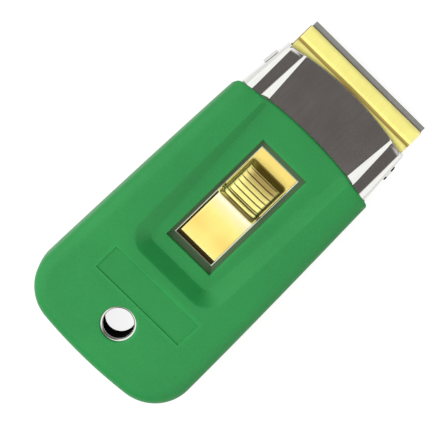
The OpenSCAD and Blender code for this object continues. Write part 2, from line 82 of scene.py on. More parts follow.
# Half widths, from the carrier out through the metal body to the cover
CARRIER_HALF = slide_high.x
NOSE_HALF = CARRIER_HALF + SIDE_GAP + SHEET
MOUTH_HALF = NOSE_HALF + 1.15 * MM
BODY_REAR_HALF = MOUTH_HALF + 1.3 * MM
COVER_FRONT_HALF = MOUTH_HALF + 1.6 * MM
COVER_REAR_HALF = cover_high.x
PANEL_FRONT_HALF = NOSE_HALF - 5.25 * MM
PANEL_MOUTH_HALF = PANEL_FRONT_HALF - 0.9 * MM
BRIM_HALF = COVER_FRONT_HALF - 7.75 * MM
FOOT_FRONT_HALF = BRIM_HALF - 1.9 * MM
FOOT_REAR_HALF = BRIM_HALF - 5.1 * MM

# Heights
BODY_Z = shell_low.z
BODY_REAR_Z = shell_high.z
PANEL_Z = BODY_REAR_Z - 2.85 * MM
BAND_MOUTH_Z = PANEL_Z + 1.5 * MM
COVER_FLOOR_Z = BODY_Z - FIT_GAP
COVER_FRONT_Z = BAND_MOUTH_Z + FIT_GAP + 1.1 * MM
COVER_CROWN_Z = cover_high.z
COVER_REAR_Z = COVER_CROWN_Z - 0.4 * MM
RECESS_FLOOR_Z = PANEL_Z + FIT_GAP + 1.0 * MM
SLIDE_Z = slide_low.z
SLIDE_TOP_Z = SLIDE_Z + SHEET
HUMP_TOP_Z = slide_high.z
RIM_Z = SLIDE_TOP_Z + RUN_GAP
RIM_TOP_Z = RIM_Z + SHEET
TRAY_Z = tray_low.z
BLADE_MID_Z = (blade_low.z + blade_high.z) / 2

# Stations along the length
REAR_Y = cover_low.y
COVER_FRONT_Y = cover_high.y
NOSE_Y = shell_high.y
LIP_Y = slide_high.y
TAIL_Y = slide_low.y
EDGE_Y = blade_high.y
BLADE_BACK_Y = spine_low.y
TRAY_END_Y = tray_low.y
HOLE_Y = (eyelet_low.y + eyelet_high.y) / 2
BAND_START_Y = NOSE_Y - 2.1 * MM
RECESS_Y = REAR_Y + 30.4 * MM
FOOT_Y = RECESS_Y + 4.2 * MM
TROUGH_Y = FOOT_Y - 1.0 * MM
PLATE_Y = REAR_Y + 23.8 * MM
LIP_GROOVE_Y = LIP_Y - 4.6 * MM
SPRING_SEAT_Y = spring_low.y + 5.0 * MM

# Window, its rim, the thumb hump in it and the pad behind the hump
WINDOW_HALF = np.array([7.6, 17.2]) * MM
WINDOW_MID = np.array([0, COVER_FRONT_Y - 9.0 * MM - WINDOW_HALF[1]])
RIM_HALF = np.array([6.15, 15.3]) * MM
HUMP_FRONT_Y = WINDOW_MID[1] + RIM_HALF[1] - 3.2 * MM
HUMP_REAR_Y = HUMP_FRONT_Y - 12.9 * MM
HUMP_HALF = 5.75 * MM
HUMP_END_POWER = 6
BEAD_REACH = 0.2 * MM
PAD_SIDE_GAP = 0.55 * MM
PAD_REAR_GAP = 1.0 * MM
PAD_DEPTH = 0.4 * MM
PAD_EDGE = 0.1 * MM
HUMP_HEIGHT = HUMP_TOP_Z - SLIDE_TOP_Z

# Lip and tail of the slide, tabs of the lower shell, rivets, grooves and the blade's edge
LIP_EDGE = 0.2 * MM
LIP_CORNER = 0.5 * MM
LIP_LINE_INSET = 0.6 * MM
LIP_GROOVE_EDGE = 0.5
LIP_GROOVE_FLOOR = 0.3
TAIL_HALF = 9.4 * MM
TAB_MIDDLE_Y = NOSE_Y - 8.2 * MM
TAB_LENGTH = 4.1 * MM
TAB_FOLD = 0.9 * MM
TAB_FOOT = 1.2 * MM
TAB_CORNER = 0.7 * MM
TAB_CORNER_POWER = 6
TAB_CHAMFER = 1.4 * SHEET
TAB_BEVEL = 0.1 * SHEET
RIVET_HEAD_HEIGHT = 0.4 * MM
RIVET_HEAD_SHARE = 1.7
RIVET_SEGMENTS = 32
RIVET_RINGS = 12
GROOVE_END_POWER = 8
GRIND = 1.0 * MM
HONE = 0.25 * MM
HONE_SHARE = 0.35

# Radii and small widths of the outlines in plan
FRONT_CORNER = 1.6 * MM
CORNER_SETBACK = 2.0 * MM
SETBACK_RUN = 3 * CORNER_SETBACK
FRONT_ARC = 113 * MM
REAR_CORNER = 12 * MM
REAR_ARC = 130 * MM
NOSE_ARC = 90 * MM
NOSE_ARC_Y = NOSE_Y - NOSE_ARC
REAR_WALL = 2.6 * MM
SIDE_BULGE = 0.15 * MM
BRIM_CORNER = 6.4 * MM
FOOT_CORNER = 1.5 * MM
FACET_MOUTH_WIDTH = 2.0 * MM
FACET_FRONT_WIDTH = 0.5 * MM
FACET_SLOPE = (BAND_MOUTH_Z - PANEL_Z) / FACET_MOUTH_WIDTH
FACET_FOOT_SHARE = 0.35
COVER_HOLE_RADIUS = 4.55 * MM
EYELET_BORE = 4.0 * MM
EYELET_TUBE = 4.4 * MM
EYELET_RIM = eyelet_high.x
EYELET_RIM_THICKNESS = 0.4 * MM
EYELET_FLARE = 0.55 * MM
POCKET_RADIUS = EYELET_RIM + FIT_GAP

# The arcs of the cover's corners meet its front and rear arcs smoothly
FRONT_ARC_Y = COVER_FRONT_Y - FRONT_ARC
FRONT_CORNER_X = COVER_FRONT_HALF - FRONT_CORNER
FRONT_TURN = math.asin(FRONT_CORNER_X / (FRONT_ARC - FRONT_CORNER))
FRONT_CORNER_Y = FRONT_ARC_Y + (FRONT_ARC - FRONT_CORNER) * math.cos(FRONT_TURN)
REAR_ARC_Y = REAR_Y + REAR_ARC
REAR_CORNER_X = COVER_REAR_HALF - REAR_CORNER
REAR_TURN = math.asin(REAR_CORNER_X / (REAR_ARC - REAR_CORNER))
REAR_CORNER_Y = REAR_ARC_Y - (REAR_ARC - REAR_CORNER) * math.cos(REAR_TURN)

# Where lines along roundings and creases end, clear of the edges that they run towards, and where the lines
# of the nose have wider spaced points
RECESS_LINE_Y = COVER_FRONT_Y - 2.6 * MM
EDGE_LINE_Y = FRONT_CORNER_Y - 1.2 * MM
MOUTH_LINE_X = FRONT_CORNER_X - 3 * MM
NOSE_LINE_Y = NOSE_Y - 1.0 * MM
NOSE_LINE_X = NOSE_HALF - 0.3 * MM
WIDER_LINE_Y = COVER_FRONT_Y - 3 * MM
TROUGH_LINE_CLEAR = 0.1 * MM
CREASE_LINE_CLEAR = 0.05 * MM

# Drop of the rounding at the cover's front as a share of its width, rounded parts of slopes at their two
# ends, and the parts of slopes and bands along which lines run
MOUTH_DROP_SHARE = 0.6
SUNK_SOFTNESS = (0.3, 0.3)
SUNK_PARTS = (0, 0.3, 0.7, 1)
FUNNEL_SOFTNESS = (0.2, 0.05)
FUNNEL_PARTS = (0.02, 0.1, 0.2, 0.5, 0.95, 1)
HUMP_FRONT_SOFTNESS = (0.4, 0.3)
HUMP_REAR_SOFTNESS = (0.35, 0.2)
RECESS_PARTS = (0.02, 0.06, 0.12, 0.18, 0.4, 0.6, 0.8, 0.93, 0.965, 0.99)
BAND_PARTS = (0, 0.04, 0.1, 0.2, 0.35, 0.5, 0.65, 0.8, 0.92, 0.98)

# Spacing of the points that fill a flat surface, the share of it that stays free round fixed points, the
# spacing round the window, and the distance in millimetres within which two points are one
STEP = 1.3 * MM
CLEAR_SHARE = 0.6
FINE_STEP = 0.6 * MM
MERGE_MILLIMETRES = 1e-5

# Steps of a quarter and of a whole round, rounds of two searches, angles, and the signs of four corners
QUARTER_STEPS = 6
ROUND_STEPS = 72
MEET_ROUNDS = 8
HALVINGS = 30
QUARTER_TURN = math.pi / 2
SHARP_ANGLE = math.radians(38)
CORNERS = ((1, 1), (1, -1), (-1, -1), (-1, 1))


# Properties

def length(name, description, millimetres):
    return bpy.props.FloatProperty(
        name=name, description=description, default=millimetres * MM, min=0, unit="LENGTH", precision=5)


def share(name, description, default):
    return bpy.props.FloatProperty(
        name=name, description=description, default=default, min=0, max=1, subtype="FACTOR")


def colour(name, description, default):
    return bpy.props.FloatVectorProperty(
        name=name, description=description, default=default, size=3, min=0, max=1, subtype="COLOR")


class ScraperShape(bpy.types.PropertyGroup):
    """Roundings and small forms that finish the scraper's pieces"""

    edge_width: length("Top edge width", "Width of the soft rounding along the cover's top edge", 3.6)
    edge_drop: length("Top edge drop", "Height of the soft rounding along the cover's top edge", 3.2)
    bottom_edge: length("Bottom edge", "Rounding along the cover's bottom edge", 1.6)
    mouth_edge: length("Front edge", "Rounding along the cover's front edge", 0.6)
    brim_softness: share("Brim softness", "Rounded part of the recess's slope at its upper edge", 0.18)
    foot_softness: share("Foot softness", "Rounded part of the recess's slope at its floor", 0.07)
    window_edge: length("Window edge", "Rounding of the cover round the window", 0.35)
    hole_edge: length("Hole edge", "Rounding of the cover round the hang hole", 0.6)
    plate_width: length("Plate width", "Width of the bare sunk plate", 29.1)
    plate_length: length("Plate length", "Length of the bare sunk plate", 7.4)
    plate_depth: length("Plate depth", "Depth of the bare sunk plate", 0.3)
    plate_edge: length("Plate edge", "Run of the sunk plate's edge", 0.2)
    shoulder: length("Shoulder", "Rounding of the metal body's upper side edges at the nose's front", 1.2)
    crease: length("Panel crease", "Softness of the crease between the nose's panel and its facets", 0.03)
    brow: length("Brow", "Softness of the bend between the nose's facets and its side bands", 0.1)
    nose_bend: length("Nose bend", "Radius of the bend along the nose's front edge", 0.15)
    roll_length: length("Roll length", "How far behind the nose's front edge its side bands roll off", 1.4)
    roll_drop: length("Roll drop", "How far the side bands roll off at the nose's front edge", 0.09)
    rim_land: length("Rim land", "Width of the rim round the window", 0.3)
    rim_round: length("Rim rounding", "Rounding of the rim's inner edge", 0.3)
    hump_front: length("Hump front", "Run of the thumb hump's front slope", 1.9)
    hump_rear: length("Hump rear", "Run of the thumb hump's rear slope", 1.65)
    bead_half: length("Bead half width", "Half width of the bead along the hump's rear edge", 0.65)
    bead_rise: length("Bead rise", "Rise of the bead along the hump's rear edge", 0.35)
    groove_count: bpy.props.IntProperty(
        name="Grooves", description="Number of grooves across the hump", default=6, min=1, max=9)
    groove_pitch: length("Groove pitch", "Distance between the grooves across the hump", 1.52)
    groove_width: length("Groove width", "Width of each groove across the hump", 0.4)
    groove_depth: length("Groove depth", "Depth of each groove across the hump", 0.16)
    lip_groove_width: length("Lip groove width", "Width of the groove across the carrier's lip", 1.0)
    lip_groove_depth: length("Lip groove depth", "Depth of the groove across the carrier's lip", 0.1)


class ScraperFinish(bpy.types.PropertyGroup):
    """Colours and surface detail of the scraper's finishes"""

    cover_colour: colour("Cover", "Colour of the moulded cover", (0.0147, 0.23, 0.0519))
    steel_colour: colour("Plated steel", "Colour of the bright plated shells", (0.70, 0.695, 0.68))
    brass_colour: colour("Brass plating", "Colour of the brass plated carrier", (1.0, 0.955, 0.32))
    # Warmer, darker brass colour laid towards the hump's front and in a band across the pad
    warm_colour: colour("Warm brass", "Colour of the brass where it has darkened evenly", (1.0, 0.735, 0.208))
    # Paler brass for edge wear and for painted highlights on raised edges and behind the hump
    rub_and_highlight_colour: colour("Rubbed brass", "Colour of the brass where it is rubbed", (1.0, 0.94, 0.67))
    blade_colour: colour("Blade steel", "Colour of the blade", (0.35, 0.35, 0.34))
    spring_colour: colour("Spring steel", "Colour of the leaf spring", (0.22, 0.22, 0.25))
    straw_colour: colour("Spring tint", "Colour of the straw tint on the leaf spring", (0.30, 0.25, 0.20))
    # Painted shade: the near black colour painted into the eyelet's bore and at the ends of the right tab
    shade_and_reflection_colour: colour("Soil", "Colour of the soil in the hang hole and on a tab", (0.01, 0.012, 0.01))
    # Painted reflection: dark olive that stands for the cover's shaded green wall mirrored in the drawn
    # window edge
    drawn_edge_reflection_colour: colour("Drawn edge", "Colour of the dulled drawn window edge", (0.045, 0.105, 0.04))
    drawn_edge_reflection_share: share("Drawn edge", "How far the drawn window edge is dulled", 0.95)
    # Painted shade: dark brown painted on the hump's slopes and front, more on its right side away from the
    # light
    slope_shade_colour: colour("Brass slopes", "Colour of the brass on its slopes", (0.30, 0.21, 0.07))
    # Painted shade: darker brass painted into the lip's groove, along the lip's rounded front edge and in the
    # sunk strips
    groove_shade_colour: colour("Brass groove", "Colour of the groove across the brass lip", (0.45, 0.29, 0.085))
    # Painted shade: near black painted into the concave bends and the sunk strips beside the pad
    hollow_shade_colour: colour("Tarnish", "Colour of the brass in its hollows", (0.05, 0.035, 0.012))
    # How far raised edges turn paler, partly wear and partly painted highlight
    wear_and_highlight: share("Edge wear", "How far the raised edges are rubbed", 0.35)


class ScraperStage(bpy.types.PropertyGroup):
    """Floor, lights and camera"""

    floor_colour: colour("Floor", "Colour of the floor", (0.24, 0.24, 0.24))
    key_power: bpy.props.FloatProperty(
        name="Key light", description="Strength of the soft key light", default=0.19, min=0, unit="POWER")
    room_strength: bpy.props.FloatProperty(
        name="Room light", description="Strength of the bright panels of the room", default=1.36, min=0)
    shade_level: share("Shaded side", "Level of the room beside its bright panels", 0.112)
    camera_distance: length("Camera distance", "Distance of the camera from the scraper", 900)


# Heights and outlines

def round_fall(depth, width, drop):
    """Drop of a quarter ellipse at a depth in from its edge"""
    out = np.clip(1 - depth / width, 0, 1)
    return drop * (1 - np.sqrt(1 - out ** 2))


def quarter_depths(width, steps=QUARTER_STEPS):
    """Depths in from an edge that divide its quarter ellipse evenly, without the edge itself"""
    return [width * (1 - math.sin(QUARTER_TURN * k / steps)) for k in range(steps)]


def soft_ramp(t, first, last):
    """Ramp from 0 to 1 whose two ends are rounded over the given parts of its run"""
    t = np.clip(t, 0, 1)
    slope = 1 / (1 - (first + last) / 2)
    middle = slope * (t - first / 2)
    start = slope * t ** 2 / (2 * max(first, 1e-6))
    end = 1 - slope * (1 - t) ** 2 / (2 * max(last, 1e-6))
    return np.where(t < first, start, np.where(t > 1 - last, end, middle))


def soft_above(value, softness):
    """The value where it is above zero and zero elsewhere, with a soft bend between"""
    return (value + np.sqrt(value ** 2 + softness ** 2)) / 2


def soft_lower(a, b, softness):
    """The lower of two heights, with a soft bend between"""
    return a - soft_above(a - b, softness)


def box_distance(x, y, middle, half):
    """Distance outside a rectangle, measured square to its sides"""
    return np.maximum(np.abs(x - middle[0]) - half[0], np.abs(y - middle[1]) - half[1])


def cover_half(y):
    """Half width of the cover, whose sides bulge a little"""
    along = (FRONT_CORNER_Y - y) / (FRONT_CORNER_Y - REAR_CORNER_Y)
    straight = COVER_FRONT_HALF + (COVER_REAR_HALF - COVER_FRONT_HALF) * along
    return straight + SIDE_BULGE * 4 * along * (1 - along)


def rail_z(y):
    """Height of the cover beside the recess: rising from its front to its crown, then falling to the rear"""
    rise = (COVER_FRONT_Y - y) / (COVER_FRONT_Y - RECESS_Y)
    fall = (RECESS_Y - y) / (RECESS_Y - REAR_Y)
    front = COVER_FRONT_Z + (COVER_CROWN_Z - COVER_FRONT_Z) * rise
    rear = COVER_CROWN_Z + (COVER_REAR_Z - COVER_CROWN_Z) * fall ** 2
    return np.where(y > RECESS_Y, front, rear)


def body_half(y):
    """Half width of the metal body, kept a wall inside the cover's rear"""
    flare = np.interp(y, [RECESS_Y, COVER_FRONT_Y, BAND_START_Y], [BODY_REAR_HALF, MOUTH_HALF, NOSE_HALF])
    room = np.interp(y, [RECESS_Y, NOSE_Y], [cover_half(RECESS_Y) - REAR_WALL, COVER_FRONT_HALF])
    return np.minimum(flare, room)


def facet_width(y):
    """Width of the facets beside the nose's panel, which grows from the front edge to the cover"""
    behind = np.clip((BAND_START_Y - y) / (BAND_START_Y - COVER_FRONT_Y), 0, 1)
    return FACET_FRONT_WIDTH + (FACET_MOUTH_WIDTH - FACET_FRONT_WIDTH) * behind


def nose_depth(x, y):
    """Depth in from the nose's front edge"""
    return NOSE_ARC - np.hypot(x, y - NOSE_ARC_Y)


def band_z(y):
    """Height of the metal body's side bands"""
    nose = PANEL_Z + FACET_SLOPE * facet_width(y)
    inner = BAND_MOUTH_Z + (BODY_REAR_Z - BAND_MOUTH_Z) * (COVER_FRONT_Y - y) / (COVER_FRONT_Y - RECESS_Y)
    return np.where(y > COVER_FRONT_Y, nose, np.minimum(inner, BODY_REAR_Z))


def shoulder_radius(y, shape):
    """Rounding of the metal body's upper side edges, which grows where the nose flares"""
    return shape.shoulder + np.clip(body_half(y) - NOSE_HALF, 0, MOUTH_HALF - NOSE_HALF)


def panel_half(y):
    """Half width of the nose's panel, which narrows towards the cover"""
    along = (BAND_START_Y - y) / (BAND_START_Y - COVER_FRONT_Y)
    return PANEL_FRONT_HALF + (PANEL_MOUTH_HALF - PANEL_FRONT_HALF) * along


def arc(middle, radius, start, end, steps):
    """Points along an arc, by angles from +X; its end is left out"""
    turns = start + (end - start) * np.arange(steps) / steps
    return np.column_stack([middle[0] + radius * np.cos(turns), middle[1] + radius * np.sin(turns)])


def line(start, end, steps):
    """Points along a line; its end is left out"""
    parts = np.arange(steps)[:, None] / steps
    return np.asarray(start) + (np.asarray(end) - np.asarray(start)) * parts


def whole_loop(half):
    """Closed loop from its right half, which starts and ends on the middle line"""
    return np.vstack([half, half[-2:0:-1] * (-1, 1)])


def whole_line(half):
    """Line from its right half, which ends on the middle line"""
    return np.vstack([half, half[-2::-1] * (-1, 1)])


def both_sides(lines):
    """Lines on the right and their mirror images"""
    return [points * (side, 1) for points in lines for side in (1, -1)]


def rectangle(middle, half, step):
    """Closed loop round a rectangle"""
    corners = [np.asarray(middle) + np.asarray(half) * sign for sign in CORNERS]
    sides = []
    for a, b in zip(corners, corners[1:] + corners[:1]):
        sides.append(line(a, b, max(1, round(float(np.abs(b - a).max()) / step))))
    return np.vstack(sides)


def window_loop(half):
    """Closed loop round the middle of the window"""
    return rectangle(WINDOW_MID, half, FINE_STEP)


def ring(radius):
    """Closed loop round the hang hole"""
    return arc((0, HOLE_Y), radius, 0, 2 * math.pi, ROUND_STEPS)


def closed(loop):
    """Line along a closed loop"""
    return np.vstack([loop, loop[:1]])


def front_arc(middle_y, radius, sweep, steps):
    """Arc across the front, over an angle to both sides of the middle line"""
    return arc((0, middle_y), radius, QUARTER_TURN - sweep, QUARTER_TURN + sweep, steps)


def half_front(middle_y, radius, end, steps):
    """Right half of a front arc, from the middle line to an end that is left out"""
    points = arc((0, middle_y), radius, QUARTER_TURN, math.atan2(end[1] - middle_y, end[0]), steps)
    points[0, 0] = 0
    return points


def front_corner(middle_y, radius, grow):
    """Where a front arc meets the metal body's side, moved out by grow"""
    x = NOSE_HALF + grow
    for _ in range(MEET_ROUNDS):
        y = middle_y + math.sqrt(radius ** 2 - x ** 2)
        x = float(body_half(y)) + grow
    return x, y


def side_and_rear(inset, start_y):
    """Right half of the cover's outline from start_y to the middle of the rear, moved in by inset"""
    ys = np.linspace(start_y, REAR_CORNER_Y, 42)[:-1]
    sides = np.column_stack([cover_half(ys) - inset, ys])
    corner = arc((REAR_CORNER_X, REAR_CORNER_Y), REAR_CORNER - inset, 0, REAR_TURN - QUARTER_TURN, 18)
    rear = arc((0, REAR_ARC_Y), REAR_ARC - inset, REAR_TURN - QUARTER_TURN, -QUARTER_TURN, 8)
    return np.vstack([sides, corner, rear, [[0, REAR_Y + inset]]])


def mouth_point():
    """Where the edge of the room for the metal body meets the cover's front edge"""
    return front_corner(FRONT_ARC_Y, FRONT_ARC, FIT_GAP)


def front_edge():
    """Right half of the cover's front edge between its middle and the mouth's side"""
    return np.vstack([half_front(FRONT_ARC_Y, FRONT_ARC, mouth_point(), 64), [mouth_point()]])


def cover_outline():
    """Closed outline of the cover, from the middle of its front edge"""
    x, y = mouth_point()
    start = math.atan2(y - FRONT_ARC_Y, x)
    rest = arc((0, FRONT_ARC_Y), FRONT_ARC, start, QUARTER_TURN - FRONT_TURN, 2)[1:]
    corner = arc((FRONT_CORNER_X, FRONT_CORNER_Y), FRONT_CORNER, QUARTER_TURN - FRONT_TURN, 0, 7)
    return whole_loop(np.vstack([front_edge(), rest, corner, side_and_rear(0, FRONT_CORNER_Y)]))


def corner_setback(x, y):
    """How far the cover's underside is set back at its front corners, beside the mouth"""
    out = np.clip((np.abs(x) - MOUTH_HALF) / CORNER_SETBACK + 1, 0, 1)
    front = np.clip((y - FRONT_CORNER_Y) / SETBACK_RUN + 1, 0, 1)
    return CORNER_SETBACK * out * front


def set_back_corners(plan):
    """Sets a plan's points back at the cover's front corners, along the flare of the metal body"""
    x, y = plan.points.T
    back = y - corner_setback(x, y)
    plan.points = np.column_stack([x + np.sign(x) * (body_half(back) - body_half(y)), back])


def body_side(grow, start_y):
    """Right half of the metal body's outline behind start_y"""
    ys = np.linspace(start_y, RECESS_Y, 40)[:-1]
    sides = np.column_stack([body_half(ys) + grow, ys])
    return np.vstack([sides, side_and_rear(REAR_WALL - grow, RECESS_Y)])


def edge_depth(x, y):
    """Depth in from the cover's sides and rear end"""
    side = cover_half(y) - np.abs(x)
    rear = REAR_ARC - np.hypot(x, y - REAR_ARC_Y)
    out, back = np.abs(x) - REAR_CORNER_X, REAR_CORNER_Y - y
    corner = REAR_CORNER - np.hypot(out, back)
    in_corner = (back > 0) & (out > 0) & (np.arctan2(back, out) < QUARTER_TURN - REAR_TURN)
    return np.where(in_corner, corner, np.where(back > 0, rear, np.minimum(side, rear)))


def recess_outline(t):
    """Sizes of the recess's outline at a share t of the way from its brim to its foot"""
    front = BRIM_HALF + (FOOT_FRONT_HALF - BRIM_HALF) * t
    half = BRIM_HALF + (FOOT_REAR_HALF - BRIM_HALF) * t
    end_y = RECESS_Y + (FOOT_Y - RECESS_Y) * t
    corner = BRIM_CORNER + (FOOT_CORNER - BRIM_CORNER) * t
    return front, half, end_y, corner


def recess_share(x, y):
    """Share of the way from the recess's brim, 0, to its foot, 1"""
    x = np.abs(x)
    low, high = np.zeros_like(x), np.ones_like(x)
    for _ in range(HALVINGS):
        t = (low + high) / 2
        front, half, end_y, corner = recess_outline(t)
        along = (COVER_FRONT_Y - y) / (COVER_FRONT_Y - end_y - corner)
        side = front + (half - front) * np.clip(along, 0, 1) - x
        out, back = x - half + corner, end_y + corner - y
        depth = np.where((out > 0) & (back > 0), corner - np.hypot(out, back), np.minimum(side, y - end_y))
        within = depth > 0
        low, high = np.where(within, t, low), np.where(within, high, t)
    return (low + high) / 2


def recess_line(t):
    """Right half of the recess's outline at a share t of the way from its brim to its foot"""
    front, half, end_y, corner = recess_outline(t)
    sides = line((front, RECESS_LINE_Y), (half, end_y + corner), 34)
    turn = arc((half - corner, end_y + corner), corner, 0, -QUARTER_TURN, 14)
    rear = line((half - corner, end_y), (0, end_y), 10)
    return np.vstack([sides, turn, rear, [[0, end_y]]])


def cover_top(x, y, shape):
    """Height of the cover's upper side"""
    slope = soft_ramp(recess_share(x, y), shape.brim_softness, shape.foot_softness)
    z = rail_z(y)
    z = z + (RECESS_FLOOR_Z - z) * slope
    z = z - round_fall(edge_depth(x, y), shape.edge_width, shape.edge_drop)
    mouth = FRONT_ARC - np.hypot(x, y - FRONT_ARC_Y)
    z = z - round_fall(mouth, shape.mouth_edge, MOUTH_DROP_SHARE * shape.mouth_edge)
    window = box_distance(x, y, WINDOW_MID, WINDOW_HALF)
    z = z - round_fall(window, shape.window_edge, shape.window_edge)
    plate = -box_distance(x, y, (0, PLATE_Y), (shape.plate_width / 2, shape.plate_length / 2))
    z = z - shape.plate_depth * soft_ramp(plate / shape.plate_edge, *SUNK_SOFTNESS)
    hole = np.hypot(x, y - HOLE_Y) - COVER_HOLE_RADIUS
    return z - round_fall(hole, shape.hole_edge, shape.hole_edge)


def body_top(x, y, grow, shape):
    """Height of the metal body's upper side; grow moves it outwards"""
    x = np.abs(x)
    radius = shoulder_radius(y, shape) + grow
    out = np.clip(x - (body_half(y) + grow - radius), 0, radius)
    shoulder = band_z(y) + grow - radius + np.sqrt(radius ** 2 - out ** 2)
    foot = FACET_FOOT_SHARE * grow
    beyond = np.maximum(x - (panel_half(y) - foot), TROUGH_Y + foot - y)
    trough = PANEL_Z + grow + FACET_SLOPE * soft_above(beyond, shape.crease)
    return soft_lower(trough, shoulder, FACET_SLOPE * shape.brow)


def shell_top(x, y, grow, shape):
    """Height of the upper shell with the drawn edge round its window; grow moves it outwards"""
    inner = RIM_HALF + shape.rim_land
    outer = WINDOW_HALF + FIT_GAP
    out = np.abs(np.column_stack([x, y]) - WINDOW_MID) - inner
    along = (out / (outer - inner)).max(axis=1)
    funnel = RIM_TOP_Z + (PANEL_Z - RIM_TOP_Z) * soft_ramp(along, *FUNNEL_SOFTNESS) + grow
    if grow == 0:
        past_rim = box_distance(x, y, WINDOW_MID, RIM_HALF)
        funnel = funnel - round_fall(past_rim, shape.rim_round, shape.rim_round)
    return np.where(along < 1, funnel, body_top(x, y, grow, shape))


# Meshes

def inside(points, loop):
    """Which of the points lie inside a closed loop"""
    x, y = points[:, :1], points[:, 1:]
    start, end = loop, np.roll(loop, -1, axis=0)
    spans = (start[:, 1] > y) != (end[:, 1] > y)
    rise = end[:, 1] - start[:, 1]
    cross = start[:, 0] + (y - start[:, 1]) * (end[:, 0] - start[:, 0]) / np.where(rise == 0, 1, rise)
    return np.sum(spans & (x < cross), axis=1) % 2 == 1


def triangle_heights(corners):
    """Heights of triangles over their longest sides"""
    sides = np.roll(corners, -1, axis=1) - corners
    doubled = np.abs(sides[:, 0, 0] * sides[:, 1, 1] - sides[:, 0, 1] * sides[:, 1, 0])
    return doubled / np.linalg.norm(sides, axis=2).max(axis=1)


def chosen(row, places):
    """What stands at some places of a row"""
    return [row[i] for i in places]


class Plan:
    """Triangles that fill a loop less its holes, with edges along the given lines"""

    def __init__(self, outer, holes=(), lines=(), step=STEP):
        points, edges, firsts = [], [], []
        for loop in (outer, *holes):
            firsts.append((len(points), len(loop)))
            edges += [(len(points) + i, len(points) + (i + 1) % len(loop)) for i in range(len(loop))]
            points += [tuple(p) for p in loop]
        for path in lines:
            edges += [(len(points) + i, len(points) + i + 1) for i in range(len(path) - 1)]
            points += [tuple(p) for p in path]
        points += self.filling(np.array(points), outer, holes, step)
        found = delaunay_2d_cdt([Vector(p) / MM for p in points], edges, [], 0, MERGE_MILLIMETRES)
        flat, faces, origins = found[0], found[2], found[3]
        self.points = np.array([tuple(p) for p in flat]) * MM
        faces = np.array(faces)
        corners = self.points[faces]
        middles = corners.mean(axis=1)
        keep = inside(middles, outer) & (triangle_heights(corners) > SLIVER)
        for hole in holes:
            keep &= ~inside(middles, hole)
        self.faces = faces[keep]
        place = {origin: index for index, several in enumerate(origins) for origin in several}
        self.loops = [[place[first + i] for i in range(count)] for first, count in firsts]

    def filling(self, fixed, outer, holes, step):
        """Points of an even grid inside the outline, clear of the holes and of fixed points"""
        low, high = outer.min(axis=0), outer.max(axis=0)
        rows = np.arange(low[1], high[1], step * math.sqrt(3) / 2)
        columns = np.arange(low[0], high[0], step)
        grid = np.array([(x + step / 2 * (k % 2), y) for k, y in enumerate(rows) for x in columns])
        grid = grid[inside(grid, outer)]
        for hole in holes:
            grid = grid[~inside(grid, hole)]
        tree = KDTree(len(fixed))
        for i, p in enumerate(fixed):
            tree.insert((p[0], p[1], 0), i)
        tree.balance()
        return [tuple(p) for p in grid if tree.find((p[0], p[1], 0))[2] > CLEAR_SHARE * step]


class Skin:
    """Points and faces of one piece"""

    def __init__(self):
        self.points = []
        self.faces = []

    def add(self, points):
        """Adds points and returns their places"""
        first = len(self.points)
        self.points += [tuple(p) for p in points]
        return list(range(first, len(self.points)))

    def sheet(self, plan, heights):
        """Adds a plan lifted to its heights; returns its loops"""
        places = self.add(np.column_stack([plan.points, heights]))
        self.faces += [chosen(places, face) for face in plan.faces]
        return [chosen(places, loop) for loop in plan.loops]

    def drop(self, loop, z):
        """Adds the loop's points again at another height"""
        points = np.array(chosen(self.points, loop))
        points[:, 2] = z
        return self.add(points)

    def ribbon(self, one, two, around=True):
        """Adds quads between two rows of points"""
        last = len(one) if around else len(one) - 1
        for i in range(last):
            j = (i + 1) % len(one)
            self.faces.append([one[i], one[j], two[j], two[i]])

    def bar(self, outline, half):
        """Adds a profile of Y and Z carried across X"""
        self.span([self.add(np.column_stack([np.full(len(outline), x), outline])) for x in (-half, half)])

    def span(self, rows):
        """Joins closed rows of points one after the other and closes both ends"""
        for one, two in zip(rows, rows[1:]):
            self.ribbon(one, two)
        self.faces += [rows[0], rows[-1]]

    def lathe(self, profile, middle):
        """Adds a closed profile of radius and height, turned round an upright line"""
        radius, z = profile.T
        rows = []
        for turn in 2 * math.pi * np.arange(ROUND_STEPS) / ROUND_STEPS:
            x = middle[0] + radius * math.cos(turn)
            y = middle[1] + radius * math.sin(turn)
            rows.append(self.add(np.column_stack([x, y, z])))
        for one, two in zip(rows, rows[1:] + rows[:1]):
            self.ribbon(one, two)

    def mesh(self, name):
        """Mesh of the points that have faces, with all faces turned outwards"""
        mesh = bpy.data.meshes.new(name)
        mesh.from_pydata(self.points, [], self.faces)
        work = bmesh.new()
        work.from_mesh(mesh)
        bmesh.ops.delete(work, geom=[v for v in work.verts if not v.link_faces], context="VERTS")
        bmesh.ops.recalc_face_normals(work, faces=work.faces)
        work.to_mesh(mesh)
        work.free()
        return mesh


